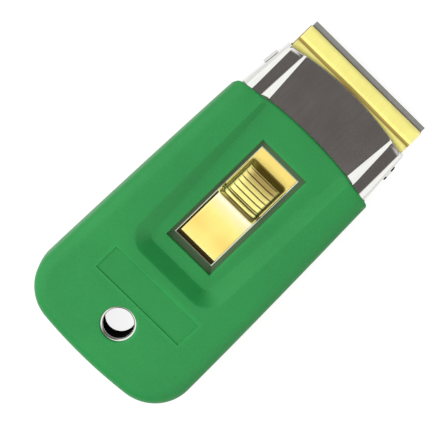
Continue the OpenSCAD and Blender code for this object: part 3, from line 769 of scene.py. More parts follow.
def note_edges(mesh):
    """Keeps how far each point stands on a raised edge, in a hollow or on a slope, for the finishes"""
    count = len(mesh.vertices)
    places, normals = np.empty(count * 3), np.empty(count * 3)
    mesh.vertices.foreach_get("co", places)
    mesh.vertices.foreach_get("normal", normals)
    ends = np.empty(len(mesh.edges) * 2, dtype=int)
    mesh.edges.foreach_get("vertices", ends)
    places, normals, ends = places.reshape(-1, 3), normals.reshape(-1, 3), ends.reshape(-1, 2)
    a, b = ends[:, 0], ends[:, 1]
    step = places[b] - places[a]
    bend = ((normals[b] - normals[a]) * step).sum(axis=1) / np.maximum((step ** 2).sum(axis=1), 1e-12)
    total, number = np.zeros(count), np.zeros(count)
    for end in (a, b):
        np.add.at(total, end, bend)
        np.add.at(number, end, 1)
    bend = total / np.maximum(number, 1) * MM
    # The finishes paint highlight on raised edges besides their wear, and paint shade into concave bends
    for name, amount in (("edge_wear_and_highlight", bend), ("painted_shade_and_reflection", -bend), ("steep", 1 - np.abs(normals[:, 2]))):
        layer = mesh.attributes.new(name, "FLOAT", "POINT")
        layer.data.foreach_set("value", np.clip(amount, 0, 1))


def place_piece(mesh, body, slot, finish, *nodes):
    """Makes the finished piece an object that stands for its nodes and moves with a body"""
    mesh.shade_smooth()
    mesh.set_sharp_from_angle(angle=SHARP_ANGLE)
    note_edges(mesh)
    mesh.materials.clear()
    mesh.materials.append(finish_named(finish))
    piece = bpy.data.objects.new(mesh.name, mesh)
    bpy.context.scene.collection.objects.link(piece)
    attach(piece, body)
    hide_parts(*nodes)


def place_bar(name, outline, half, *details):
    """Makes a piece of a profile of Y and Z carried across X"""
    skin = Skin()
    skin.bar(outline, half)
    place_piece(skin.mesh(name), *details)


# Node trees

def put(tree, kind, inputs=None, **settings):
    """Adds a node, sets its own settings and its sockets by name or number"""
    node = tree.nodes.new(kind)
    for key, value in settings.items():
        setattr(node, key, value)
    for key, value in (inputs or {}).items():
        if isinstance(value, Signal):
            tree.links.new(value.socket, node.inputs[key])
        else:
            node.inputs[key].default_value = value
    return node


def signal(tree, kind, output, inputs=None, **settings):
    """Adds a node and returns one of its outputs"""
    return Signal(put(tree, kind, inputs, **settings).outputs[output])


class Signal:
    """Output of a node; sums with it add Math nodes to its tree"""

    def __init__(self, socket):
        self.socket = socket
        self.tree = socket.id_data

    def math(self, operation, *values):
        """Adds a Math node and returns its result"""
        return signal(self.tree, "ShaderNodeMath", "Value", dict(enumerate(values)), operation=operation)

    def __add__(self, other):
        return self.math("ADD", self, other)

    def __sub__(self, other):
        return self.math("SUBTRACT", self, other)

    def __rsub__(self, other):
        return self.math("SUBTRACT", other, self)

    def __mul__(self, other):
        return self.math("MULTIPLY", self, other)

    def __truediv__(self, other):
        return self.math("DIVIDE", self, other)

    def __pow__(self, other):
        return self.math("POWER", self, other)

    def __abs__(self):
        return self.math("ABSOLUTE", self)

    def ramp(self, start, end, low=0.0, high=1.0):
        """Goes from low to high while the signal goes from start to end, and stays there beyond"""
        return signal(self.tree, "ShaderNodeMapRange", "Result", {
            "Value": self, "From Min": start, "From Max": end, "To Min": low, "To Max": high})

    def spread(self, low, high):
        """Spreads the usual range of a noise over another one"""
        return self.ramp(0.3, 0.7, low, high)

    def blend(self, one, two):
        """Colour between two colours, which the Mix node takes at sockets 6 and 7"""
        return signal(self.tree, "ShaderNodeMix", 2, {0: self, 6: one, 7: two}, data_type="RGBA")


def largest(first, *others):
    """Largest of a signal and other signals or numbers"""
    for other in others:
        first = first.math("MAXIMUM", first, other)
    return first


def split(vector):
    """X, Y and Z of a vector"""
    return [Signal(part) for part in put(vector.tree, "ShaderNodeSeparateXYZ", {"Vector": vector}).outputs]


# Finishes

def attribute(where, name):
    """Number that a mesh keeps at its points"""
    return signal(where.tree, "ShaderNodeAttribute", "Fac", attribute_name=name)


def noise(where, scale, detail=3.0, stretch=None, roughness=0.5):
    """Noise between 0 and 1 at a scale given per metre, drawn out along an axis by stretch"""
    if stretch:
        where = signal(where.tree, "ShaderNodeMapping", "Vector", {"Vector": where, "Scale": stretch})
    return signal(where.tree, "ShaderNodeTexNoise", "Fac", {
        "Vector": where, "Scale": scale, "Detail": detail, "Roughness": roughness})


def bump(height, distance, strength):
    """Normal of a surface that a signal raises by up to a distance"""
    return signal(height.tree, "ShaderNodeBump", "Normal", {
        "Height": height, "Distance": distance, "Strength": strength})


def paint(rgb, factor=1.0):
    """Opaque colour, lightened or darkened by a factor"""
    return tuple(min(1.0, c * factor) for c in rgb) + (1.0,)


def new_finish(name):
    """New material with a node for object coordinates only; returns both"""
    material = bpy.data.materials.new(name)
    material.use_nodes = True
    material.node_tree.nodes.clear()
    return material, signal(material.node_tree, "ShaderNodeTexCoord", "Object")


def close_finish(material, **inputs):
    """Ends a material in a Principled shader, whose inputs are named with underscores for spaces"""
    names = {key.replace("_", " "): value for key, value in inputs.items()}
    shader = signal(material.node_tree, "ShaderNodeBsdfPrincipled", "BSDF", names)
    put(material.node_tree, "ShaderNodeOutputMaterial", {"Surface": shader})
    return material


def moulded_plastic(settings):
    """Satin green plastic with a fine moulded grain, faint scuffs and paler edges, partly rubbed and partly
    painted highlight
    """
    material, where = new_finish("moulded_plastic")
    green = settings.cover_colour
    cloud = noise(where, 70, 2)
    base = cloud.spread(0, 1).blend(paint(green, 0.94), paint(green, 1.06))
    base = noise(where, 2200, 2).ramp(0.35, 0.75, 0, 0.3).blend(base, paint(green, 1.5))
    # Paler rounded edges: partly wear, partly painted highlight
    rubbed = attribute(where, "edge_wear_and_highlight").ramp(0.15, 0.9, 0, settings.wear_and_highlight) * cloud.spread(0.5, 1)
    base = rubbed.blend(base, paint(green, 1.7))
    rough = noise(where, 300, 4, stretch=(1, 0.35, 1)).ramp(0.3, 0.75, 0.42, 0.5)
    grain = noise(where, 3200, roughness=0.6)
    return close_finish(material, Base_Color=base, Roughness=rough, Specular_IOR_Level=0.3,
                        Normal=bump(grain, 0.025 * MM, 0.6))


def plated_steel(settings, name, painted_shade_and_reflection, shade_and_reflection_colour):
    """Bright nickel plating with drawing lines and finger smudges, turned to a flat dark colour where a given
    mask lays painted shade and painted reflection
    """
    material, where = new_finish(name)
    steel = settings.steel_colour
    lines = noise(where, 2600, stretch=(1, 0.03, 1))
    base = lines.spread(0, 1).blend(paint(steel, 0.92), paint(steel))
    rough = noise(where, 110, 4, roughness=0.6).spread(0.06, 0.09)
    # The mask lays painted shade and painted reflection over the plating
    amount = painted_shade_and_reflection(*split(where))
    return close_finish(material, Base_Color=amount.blend(base, paint(shade_and_reflection_colour)), Metallic=1 - amount,
                        Roughness=largest(rough, amount * 0.5), Specular_IOR_Level=0.0,
                        Normal=bump(lines, 0.0008 * MM, 0.5))


def eyelet_steel(settings):
    """The plating on the eyelet, with painted shade that turns its bore near black below its rolled edge"""
    def painted_shade_and_reflection(x, y, z):
        return z.ramp(eyelet_high.z - 0.9 * MM, eyelet_high.z - 0.45 * MM, 1, 0)

    return plated_steel(settings, "eyelet_steel", painted_shade_and_reflection, settings.shade_and_reflection_colour)


def tab_steel(settings):
    """The plating on the lower shell, with painted shade at the ends of its right tab"""
    def painted_shade_and_reflection(x, y, z):
        # Painted shade at both ends of the right tab only, on the side away from the light
        ends = abs(y - TAB_MIDDLE_Y).ramp(0.2 * TAB_LENGTH, 0.25 * TAB_LENGTH)
        return ends * x.ramp(NOSE_HALF, NOSE_HALF + FIT_GAP)

    return plated_steel(settings, "tab_steel", painted_shade_and_reflection, settings.shade_and_reflection_colour)


def shell_steel(settings):
    """The plating on the upper shell, whose drawn window edge outside its bright rim carries a painted
    reflection of the cover's shaded green wall
    """
    def painted_shade_and_reflection(x, y, z):
        across, along = abs(x), abs(y - WINDOW_MID[1])
        rim = largest(across - RIM_HALF[0], along - RIM_HALF[1])
        edge = largest(across - WINDOW_HALF[0], along - WINDOW_HALF[1])
        # Painted reflection of the cover's green wall on the drawn edge, outside the bright rim
        drawn = rim.ramp(0.2 * MM, 0.32 * MM) * edge.ramp(FIT_GAP, 2 * FIT_GAP, 1, 0)
        return drawn * settings.drawn_edge_reflection_share

    return plated_steel(settings, "shell_steel", painted_shade_and_reflection, settings.drawn_edge_reflection_colour)


def warm_brass_zones(x, y):
    """How far the brass takes its warmer, darker colour: more towards the front of the hump, and in a band
    across the pad
    """
    off = abs(y - (HUMP_REAR_Y - 9.0 * MM))
    band = off.ramp(0.5 * MM, 4.5 * MM, 1, 0) * abs(x).ramp(0, 0.7 * RIM_HALF[0], 0.5, 1)
    front = y.ramp(HUMP_FRONT_Y - 9.0 * MM, HUMP_FRONT_Y + 1.0 * MM, 0, 0.7)
    return largest(band, front * y.ramp(HUMP_FRONT_Y + 4 * MM, HUMP_FRONT_Y + 7 * MM, 1, 0))


def brass_highlight_and_rub(y, worn_and_lit, wear_and_highlight):
    """How far the brass is paler: on its raised edges, partly wear and partly painted highlight, and behind
    the hump, where a painted highlight fades rearwards
    """
    # Painted highlight on the plate behind the hump, fading rearwards
    thumb = y.ramp(HUMP_REAR_Y - 5.0 * MM, HUMP_REAR_Y - 0.5 * MM)
    thumb = thumb * y.ramp(HUMP_REAR_Y, HUMP_REAR_Y + 0.3 * MM, 1, 0)
    return largest(thumb ** 1.5, worn_and_lit.ramp(0.2, 0.9, 0, wear_and_highlight))


def painted_slope_shade(x, y, depth, steep):
    """How far painted shade and dark reflection lie on the hump's slopes and the front of its top, less on
    its left, which faces the light
    """
    slope = largest(steep.ramp(0.04, 0.25), y.ramp(HUMP_FRONT_Y - 6.9 * MM, HUMP_FRONT_Y - 2.9 * MM, 0, 0.85))
    raised = depth.ramp(-0.4 * MM, -0.1 * MM, 1, 0)
    return slope * raised * x.ramp(-HUMP_HALF, -0.5 * HUMP_HALF, 0.1, 1)


def brass_plating(settings):
    """Yellow brass plating, satin from rolling, with a warmer colour in places, painted shade on its slopes,
    in its hollows and grooves, and paler brass on worn edges and under painted highlights
    """
    material, where = new_finish("brass_plating")
    x, y, z = split(where)
    depth = SLIDE_TOP_Z - z
    brass = settings.brass_colour
    deep = [c * part for c, part in zip(brass, (0.97, 0.92, 0.86))]
    cloud = noise(where, 160, 4, roughness=0.6)
    lines = noise(where, 2400, stretch=(1, 0.05, 1))
    base = cloud.spread(0, 1).blend(paint(deep), paint(brass))
    base = lines.spread(0.25, 0).blend(base, paint(deep, 0.85))
    # Painted shade in the sunk strips beside the pad, whose floor lies in shade under the rim
    sunk = depth.ramp(0.12 * MM, 0.25 * MM) * depth.ramp(0.5 * MM, 0.55 * MM, 1, 0)
    layers = (
        (warm_brass_zones(x, y), settings.warm_colour),
        # Edge wear and painted highlight
        (brass_highlight_and_rub(y, attribute(where, "edge_wear_and_highlight"), settings.wear_and_highlight), settings.rub_and_highlight_colour),
        # Painted shade and dark reflection on the hump's slopes
        (painted_slope_shade(x, y, depth, attribute(where, "steep")), settings.slope_shade_colour),
        # Painted shade on every surface a little below the slide's top: the lip's groove, its rounded front
        # edge, the sunk strips and the underside
        (depth.ramp(0.03 * MM, 0.09 * MM, 0, 0.9), settings.groove_shade_colour),
        # Painted shade in the sunk strips and in concave bends
        (largest(sunk, attribute(where, "painted_shade_and_reflection").ramp(0.2, 0.9, 0, 0.65)), settings.hollow_shade_colour),
    )
    for amount, rgb in layers:
        base = amount.blend(base, paint(rgb))
    return close_finish(material, Base_Color=base, Metallic=1.0, Roughness=cloud.spread(0.33, 0.39),
                        Normal=bump(lines, 0.006 * MM, 0.5))


def ground_steel(settings):
    """Grey hardened steel with grinding lines that run back from the edge"""
    material, where = new_finish("ground_steel")
    steel = settings.blade_colour
    base = noise(where, 180).spread(0, 1).blend(paint(steel, 0.85), paint(steel))
    lines = noise(where, 4000, stretch=(1, 0.04, 1))
    return close_finish(material, Base_Color=base, Metallic=1.0, Roughness=lines.spread(0.28, 0.42),
                        Normal=bump(lines, 0.005 * MM, 0.6))


def tempered_steel(settings):
    """Dark tempered spring steel with a straw and blue tint"""
    material, where = new_finish("tempered_steel")
    base = noise(where, 220).spread(0, 1).blend(paint(settings.spring_colour), paint(settings.straw_colour))
    lines = noise(where, 3000, stretch=(1, 0.05, 1))
    return close_finish(material, Base_Color=base, Metallic=1.0, Roughness=lines.spread(0.25, 0.4),
                        Normal=bump(lines, 0.005 * MM, 0.5))


FINISHES = {finish.__name__: finish for finish in (
    moulded_plastic, eyelet_steel, shell_steel, tab_steel, brass_plating, ground_steel, tempered_steel)}


def finish_named(name):
    """The finish of that name, made when it is first asked for"""
    return bpy.data.materials.get(name) or FINISHES[name](bpy.context.scene.scraper_finish)


# Pieces

class SCRAPER_OT_cover(bpy.types.Operator):
    """Make the moulded cover with its thumb recess, window, sunk plate and hang hole"""

    bl_idname = "scraper.cover"
    bl_label = "Handle cover"

    def execute(self, context):
        shape = context.scene.scraper_shape
        skin = Skin()
        outline = cover_outline()
        mouth = len(front_edge())
        room = whole_loop(np.vstack([front_edge(), body_side(FIT_GAP, mouth_point()[1])[1:]]))
        window = window_loop(WINDOW_HALF)
        hole = ring(COVER_HOLE_RADIUS)
        pocket = [closed(ring(POCKET_RADIUS + out)) for out in (0, FIT_GAP)]

        top = Plan(outline, [window, hole], self.top_lines(shape))
        upper, upper_window, upper_hole = skin.sheet(top, cover_top(*top.points.T, shape))
        bottom = Plan(outline, [hole], self.edge_lines(shape.bottom_edge))
        rounding = round_fall(edge_depth(*bottom.points.T), shape.bottom_edge, shape.bottom_edge)
        set_back_corners(bottom)
        lower, lower_hole = skin.sheet(bottom, rounding)

        inner = Plan(room, [window, hole], pocket + self.trough_lines())
        ceiling = body_top(*inner.points.T, FIT_GAP, shape)
        ceiling[self.in_pocket(inner)] = eyelet_high.z + FIT_GAP
        above, above_window, above_hole = skin.sheet(inner, ceiling)
        ground = Plan(room, [hole], pocket)
        floor = np.where(self.in_pocket(ground), eyelet_low.z - FIT_GAP, COVER_FLOOR_Z)
        set_back_corners(ground)
        below, below_hole = skin.sheet(ground, floor)

        skin.ribbon(upper_window, above_window)
        skin.ribbon(upper_hole, above_hole)
        skin.ribbon(lower_hole, below_hole)
        self.close_front(skin, mouth, upper, lower, above, below)
        mesh = skin.mesh("cover_moulding")
        place_piece(mesh, "housing", "green_plastic", "moulded_plastic", "handle_cover")
        return {"FINISHED"}

    def in_pocket(self, plan):
        """Which of a plan's points lie in the pockets for the eyelet's rims"""
        x, y = plan.points.T
        return np.hypot(x, y - HOLE_Y) < POCKET_RADIUS + FIT_GAP / 2

    def edge_lines(self, width):
        """Lines along a rounding at the cover's sides and rear"""
        return [whole_line(side_and_rear(depth, EDGE_LINE_Y)) for depth in quarter_depths(width)]

    def top_lines(self, shape):
        """Lines along the roundings of the cover's upper side, the slope of its recess and its sunk plate"""
        lines = self.edge_lines(shape.edge_width)
        for t in RECESS_PARTS:
            lines.append(whole_line(recess_line(t)))
        sweep = math.asin(MOUTH_LINE_X / FRONT_ARC)
        for depth in quarter_depths(shape.mouth_edge, 4):
            lines.append(front_arc(FRONT_ARC_Y, FRONT_ARC - depth, sweep, 34))
        for depth in quarter_depths(shape.window_edge, 4):
            lines.append(closed(window_loop(WINDOW_HALF + depth)))
        for depth in quarter_depths(shape.hole_edge):
            lines.append(closed(ring(COVER_HOLE_RADIUS + depth)))
        half = np.array([shape.plate_width, shape.plate_length]) / 2
        for part in SUNK_PARTS:
            lines.append(closed(rectangle((0, PLATE_Y), half - part * shape.plate_edge, STEP)))
        return lines

    def trough_lines(self):
        """Lines along the lower and upper edges of the facets in the room's ceiling"""
        ys = np.linspace(COVER_FRONT_Y, TROUGH_Y, 16)
        foot = panel_half(ys) - FACET_FOOT_SHARE * FIT_GAP
        brow = foot + (band_z(ys) - PANEL_Z) / FACET_SLOPE
        lines = []
        for xs in (foot, brow):
            depth = FRONT_ARC - np.hypot(xs, ys - FRONT_ARC_Y)
            lines.append(np.column_stack([xs, ys])[depth > TROUGH_LINE_CLEAR])
        return both_sides(lines)

    def close_front(self, skin, mouth, upper, lower, above, below):
        """Joins the outside to the room inside round the mouth, and closes the sides"""
        count, room = len(upper), len(above)
        right = list(range(mouth))
        front = [-i % count for i in range(mouth - 1, 0, -1)] + right
        front_room = [-i % room for i in range(mouth - 1, 0, -1)] + right
        skin.ribbon(chosen(upper, front), chosen(above, front_room), False)
        skin.ribbon(chosen(lower, front), chosen(below, front_room), False)
        sides = range(mouth, count - mouth + 1)
        skin.ribbon(chosen(upper, sides), chosen(lower, sides), False)
        rear = range(mouth - 1, room - mouth + 2)
        skin.ribbon(chosen(above, rear), chosen(below, rear), False)
        corners = ((mouth - 1, mouth - 1, 1), (count - mouth + 1, room - mouth + 1, -1))
        for corner, corner_room, step in corners:
            skin.faces.append([
                lower[corner], lower[corner + step], upper[corner + step], upper[corner],
                above[corner_room], below[corner_room]])


class SCRAPER_OT_top_shell(bpy.types.Operator):
    """Make the plated upper shell with its pressed panel, drawn window edge and turned nose edge"""

    bl_idname = "scraper.top_shell"
    bl_label = "Upper shell"

    def execute(self, context):
        shape = context.scene.scraper_shape
        skin = Skin()
        outer, corner = self.outline(0)
        inner, _ = self.outline(-SHEET)
        opening = window_loop(RIM_HALF)
        hole = ring(EYELET_TUBE + FIT_GAP)

        lines = self.crease_lines(shape, 0) + self.bend_lines(shape) + self.funnel_lines(shape)
        top = Plan(outer, [opening, hole], lines)
        x, y = top.points.T
        bend = round_fall(nose_depth(x, y), shape.nose_bend, shape.nose_bend)
        height = shell_top(x, y, 0, shape) - bend - self.band_roll(x, y, shape)
        upper, upper_rim, upper_hole = skin.sheet(top, height)

        under = Plan(inner, [opening, hole], self.crease_lines(shape, -SHEET) + self.funnel_lines(shape))
        lower, lower_rim, lower_hole = skin.sheet(under, shell_top(*under.points.T, -SHEET, shape))
        skin.ribbon(upper_rim, lower_rim)
        skin.ribbon(upper_hole, lower_hole)
        self.skirt(skin, upper, lower, corner)
        place_piece(skin.mesh("upper_pressing"), "housing", "plated_steel", "shell_steel", "top_shell")
        return {"FINISHED"}

    def outline(self, grow):
        """Closed outline and the number of points up to its front corner"""
        end = front_corner(NOSE_ARC_Y, NOSE_ARC + grow, grow)
        front = half_front(NOSE_ARC_Y, NOSE_ARC + grow, end, 76)
        return whole_loop(np.vstack([front, body_side(grow, end[1])])), len(front)

    def band_roll(self, x, y, shape):
        """Drop of the side bands where they roll off towards the nose's front edge"""
        on_band = np.clip((np.abs(x) - panel_half(y)) / facet_width(y), 0, 1)
        return shape.roll_drop * on_band * np.clip(1 - nose_depth(x, y) / shape.roll_length, 0, 1) ** 2

    def crease_lines(self, shape, grow):
        """Lines along the panel, facets, bands and shoulders, close together where the surface bends"""
        nose = np.linspace(NOSE_LINE_Y, WIDER_LINE_Y, 36)
        ys = np.concatenate([nose, np.linspace(nose[-1], TROUGH_Y, 20)[1:]])
        radius = shoulder_radius(ys, shape) + grow
        bend = body_half(ys) + grow - radius
        foot = panel_half(ys) - FACET_FOOT_SHARE * grow
        brow = foot + (band_z(ys) - PANEL_Z) / FACET_SLOPE
        lines = [foot - out * shape.crease for out in (8, 4, 2, 1)]
        lines += [foot + part * (brow - foot) for part in (0, 0.25, 0.5, 0.75)]
        lines += [brow + part * (bend - brow) for part in BAND_PARTS]
        lines += [bend + radius * math.sin(QUARTER_TURN * k / QUARTER_STEPS) for k in range(QUARTER_STEPS)]
        clear = [nose_depth(xs, ys) + grow > CREASE_LINE_CLEAR for xs in lines]
        return both_sides([np.column_stack([xs, ys])[keep] for xs, keep in zip(lines, clear)])

    def bend_lines(self, shape):
        """Arcs along the bend at the nose's front edge"""
        sweep = math.asin(NOSE_LINE_X / NOSE_ARC)
        depths = [shape.roll_length * part for part in (1, 0.75, 0.5, 0.25)]
        depths += quarter_depths(shape.nose_bend, 4)
        return [front_arc(NOSE_ARC_Y, NOSE_ARC - depth, sweep, 48) for depth in depths]

    def funnel_lines(self, shape):
        """Rings round the drawn edge, and the mitres at its corners"""
        inner = RIM_HALF + shape.rim_land
        outer = WINDOW_HALF + FIT_GAP
        halves = [RIM_HALF + depth for depth in quarter_depths(shape.rim_round, 4)]
        halves += [inner + part * (outer - inner) for part in FUNNEL_PARTS]
        lines = [closed(window_loop(half)) for half in halves]
        for sign in CORNERS:
            lines.append(WINDOW_MID + np.array([inner, outer]) * sign)
        return lines

    def skirt(self, skin, upper, lower, corner):
        """Walls down from the shell's outline, and the turned edge at the nose"""
        count = len(upper)
        front = [-i % count for i in range(corner, 0, -1)] + list(range(corner + 1))
        sides = range(corner, count - corner + 1)
        turned, lowest = [], []
        for sheet in (upper, lower):
            edge = skin.drop(chosen(sheet, front), RIM_Z)
            middle = skin.drop(chosen(sheet, sides), RIM_Z)
            middle[0], middle[-1] = edge[-1], edge[0]
            low = skin.drop(middle, BODY_Z)
            skin.ribbon(chosen(sheet, front), edge, False)
            skin.ribbon(chosen(sheet, sides), middle, False)
            skin.ribbon(middle, low, False)
            turned.append(edge)
            lowest.append(low)
        skin.ribbon(*turned, False)
        skin.ribbon(*lowest, False)
        for end, far in ((0, -1), (-1, 0)):
            skin.faces.append([turned[0][end], lowest[0][far], lowest[1][far], turned[1][end]])


class SCRAPER_OT_bottom_shell(bpy.types.Operator):
    """Make the lower shell, whose tabs are folded up along the nose"""

    bl_idname = "scraper.bottom_shell"
    bl_label = "Lower shell"

    def execute(self, context):
        skin = Skin()
        inset = SHEET + FIT_GAP
        x = NOSE_HALF - inset
        y = NOSE_ARC_Y + math.sqrt(NOSE_ARC ** 2 - x ** 2)
        front = half_front(NOSE_ARC_Y, NOSE_ARC, (x, y), 16)
        outline = whole_loop(np.vstack([front, body_side(-inset, y)]))
        hole = ring(EYELET_TUBE + FIT_GAP)
        plan = Plan(outline, [hole], step=3 * STEP)
        above, above_hole = skin.sheet(plan, np.full(len(plan.points), BODY_Z + SHEET))
        below, below_hole = skin.sheet(plan, np.full(len(plan.points), BODY_Z))
        skin.ribbon(above, below)
        skin.ribbon(above_hole, below_hole)
        for side in (-1, 1):
            self.tab(skin, side)
        place_piece(skin.mesh("lower_pressing"), "housing", "plated_steel", "tab_steel", "bottom_shell")
        return {"FINISHED"}

    def tab(self, skin, side):
        """A strip out through the wall and up along it, with a rounded fold and rounded upper corners"""
        rows = []
        for along in np.linspace(-1, 1, 9):
            y = TAB_MIDDLE_Y + along * TAB_LENGTH / 2
            inner = float(body_half(y)) + FIT_GAP
            outer = inner + SHEET
            crest = lower_high.z - TAB_CORNER * abs(along) ** TAB_CORNER_POWER
            foot = inner - TAB_FOOT
            profile = np.vstack([
                [[foot, BODY_Z]],
                arc((outer - TAB_FOLD, BODY_Z + TAB_FOLD), TAB_FOLD, -QUARTER_TURN, 0, 6),
                [[outer, BODY_Z + TAB_FOLD], [outer, crest - TAB_CHAMFER]],
                [[inner + TAB_BEVEL, crest], [inner, crest - TAB_BEVEL]],
                [[inner, BODY_Z + SHEET], [foot, BODY_Z + SHEET]],
            ])
            across, up = profile.T
            rows.append(skin.add(np.column_stack([side * across, np.full(len(up), y), up])))
        skin.span(rows)


class SCRAPER_OT_eyelet(bpy.types.Operator):
    """Make the rolled eyelet that lines the hang hole"""

    bl_idname = "scraper.eyelet"
    bl_label = "Hang eyelet"

    def execute(self, context):
        low, high = eyelet_low.z, eyelet_high.z
        flare, lip = EYELET_FLARE, EYELET_RIM_THICKNESS / 2
        bore, tube, rim = EYELET_BORE, EYELET_TUBE, EYELET_RIM
        profile = np.vstack([
            arc((bore + flare, low + flare), flare, -QUARTER_TURN, -2 * QUARTER_TURN, 5),
            [[bore, low + flare]],
            arc((bore + flare, high - flare), flare, 2 * QUARTER_TURN, QUARTER_TURN, 5),
            [[bore + flare, high]],
            arc((rim - lip, high - lip), lip, QUARTER_TURN, -QUARTER_TURN, 8),
            [[rim - lip, high - 2 * lip], [tube, high - 2 * lip], [tube, low + 2 * lip]],
            arc((rim - lip, low + lip), lip, QUARTER_TURN, -QUARTER_TURN, 8),
            [[rim - lip, low]],
        ])
        skin = Skin()
        skin.lathe(profile, (0, HOLE_Y))
        place_piece(skin.mesh("rolled_eyelet"), "housing", "plated_steel", "eyelet_steel", "hang_eyelet")
        return {"FINISHED"}


def hump(x, y, shape):
    """Height of the thumb hump over the slide, with rounded ends and a bead along its rear edge"""
    x = np.abs(x)
    front = soft_ramp((HUMP_FRONT_Y - y) / shape.hump_front, *HUMP_FRONT_SOFTNESS)
    rear = soft_ramp((y - HUMP_REAR_Y) / shape.hump_rear, *HUMP_REAR_SOFTNESS)
    bead = 1 - ((y - HUMP_REAR_Y - shape.hump_rear - shape.bead_half) / shape.bead_half) ** 2
    bead = np.sqrt(np.clip(bead, 0, 1))
    crown = np.sqrt(1 - np.clip(x / (HUMP_HALF + BEAD_REACH * bead), 0, 1) ** HUMP_END_POWER)
    height = HUMP_HEIGHT - shape.bead_rise + shape.bead_rise * bead
    return height * front * rear * crown


def pad_gap(x, y):
    """Depth of the sunk strips beside the slide's pad, along the left and the rear of the window"""
    rear = WINDOW_MID[1] - RIM_HALF[1]
    past_rear = soft_ramp((rear + PAD_REAR_GAP - y) / PAD_EDGE, *SUNK_SOFTNESS)
    past_left = soft_ramp((PAD_SIDE_GAP - RIM_HALF[0] - x) / PAD_EDGE, *SUNK_SOFTNESS)
    within = (y < HUMP_REAR_Y) & (y > rear - PAD_REAR_GAP) & (np.abs(x) < RIM_HALF[0] + PAD_REAR_GAP)
    return np.where(within, PAD_DEPTH * np.maximum(past_rear, past_left), 0)


class SCRAPER_OT_thumb_slide(bpy.types.Operator):
    """Make the slide with its pressed thumb hump; nodes press the grooves across the hump"""

    bl_idname = "scraper.thumb_slide"
    bl_label = "Thumb slide"

    def execute(self, context):
        shape = context.scene.scraper_shape
        skin = Skin()
        outline = self.outline(shape)
        plan = Plan(outline, lines=self.hump_lines(shape) + self.lip_lines(shape) + self.pad_lines())
        x, y = plan.points.T
        off = np.abs(y - LIP_GROOVE_Y) / shape.lip_groove_width
        groove = np.clip((LIP_GROOVE_EDGE - off) / (LIP_GROOVE_EDGE - LIP_GROOVE_FLOOR), 0, 1)
        edge = round_fall(LIP_Y - y, LIP_EDGE, LIP_EDGE)
        lowered = shape.lip_groove_depth * groove + edge + pad_gap(x, y)
        upper, = skin.sheet(plan, SLIDE_TOP_Z + hump(x, y, shape) - lowered)
        hollow = np.clip(hump(x, y, shape) - SHEET, 0, None)
        lower, = skin.sheet(plan, SLIDE_Z + hollow)
        skin.ribbon(upper, lower)
        mesh = skin.mesh("slide_pressing")
        crest = HUMP_FRONT_Y - shape.hump_front
        pressed = through_nodes(mesh, groove_nodes(), {
            "First groove": crest, "Pitch": shape.groove_pitch, "Count": shape.groove_count,
            "Width": shape.groove_width, "Depth": shape.groove_depth, "Half length": HUMP_HALF,
            "Lowest": SLIDE_TOP_Z + HUMP_HEIGHT / 2, "Material": finish_named("brass_plating")})
        place_piece(pressed, "carrier", "brass_plate", "brass_plating", "thumb_slide")
        return {"FINISHED"}

    def groove_ys(self, shape):
        """Where the walls of the groove across the lip start and end"""
        parts = np.array([-LIP_GROOVE_EDGE, -LIP_GROOVE_FLOOR, LIP_GROOVE_FLOOR, LIP_GROOVE_EDGE])
        return LIP_GROOVE_Y + parts * shape.lip_groove_width

    def outline(self, shape):
        """Closed outline of the slide, from the middle of its lip"""
        step_y = TRAY_END_Y - (CARRIER_HALF - TAIL_HALF) / 2
        corner = LIP_CORNER
        side_ys = np.concatenate([np.linspace(LIP_Y - corner, TRAY_END_Y, 17)[:-1], self.groove_ys(shape)])
        side_ys = np.sort(side_ys)[::-1]
        half = np.vstack([
            line((0, LIP_Y), (CARRIER_HALF - corner, LIP_Y), 16),
            arc((CARRIER_HALF - corner, LIP_Y - corner), corner, QUARTER_TURN, 0, 4),
            np.column_stack([np.full(len(side_ys), CARRIER_HALF), side_ys]),
            line((CARRIER_HALF, TRAY_END_Y), (TAIL_HALF, step_y), 6),
            line((TAIL_HALF, step_y), (TAIL_HALF, TAIL_Y), 20),
            line((TAIL_HALF, TAIL_Y), (0, TAIL_Y), 8),
            [[0, TAIL_Y]],
        ])
        return whole_loop(half)

    def hump_lines(self, shape):
        """Lines across the hump, close together on its top so that the grooves can be pressed into it"""
        slopes = np.linspace(0, 1, 9)
        front = HUMP_FRONT_Y - shape.hump_front * slopes
        rear = HUMP_REAR_Y + shape.hump_rear * slopes[::-1]
        top = np.linspace(front[-1], rear[0], 96)[1:-1]
        across = HUMP_HALF * np.sin(np.linspace(-QUARTER_TURN, QUARTER_TURN, 33))
        ends = HUMP_HALF + np.array([0.1, 0.2, 0.25]) * MM
        across = np.concatenate([-ends[::-1], across, ends])
        stations = np.concatenate([front, top, rear])
        return [np.column_stack([across, np.full(len(across), y)]) for y in stations]

    def pad_lines(self):
        """Lines along the edges of the strips beside the pad"""
        rear, half = WINDOW_MID[1] - RIM_HALF[1], RIM_HALF[0]
        lines = []
        for part in SUNK_PARTS:
            x = PAD_SIDE_GAP - half - part * PAD_EDGE
            y = rear + PAD_REAR_GAP - part * PAD_EDGE
            lines.append(np.array([(half + PAD_REAR_GAP, y), (x, y), (x, HUMP_REAR_Y)]))
        return lines

    def lip_lines(self, shape):
        """Lines along the groove across the lip and along the lip's rounded edge"""
        spans = [(CARRIER_HALF, y) for y in self.groove_ys(shape)]
        spans += [(CARRIER_HALF - LIP_LINE_INSET, LIP_Y - depth) for depth in quarter_depths(LIP_EDGE, 3)]
        return [np.array([(-half, y), (half, y)]) for half, y in spans]


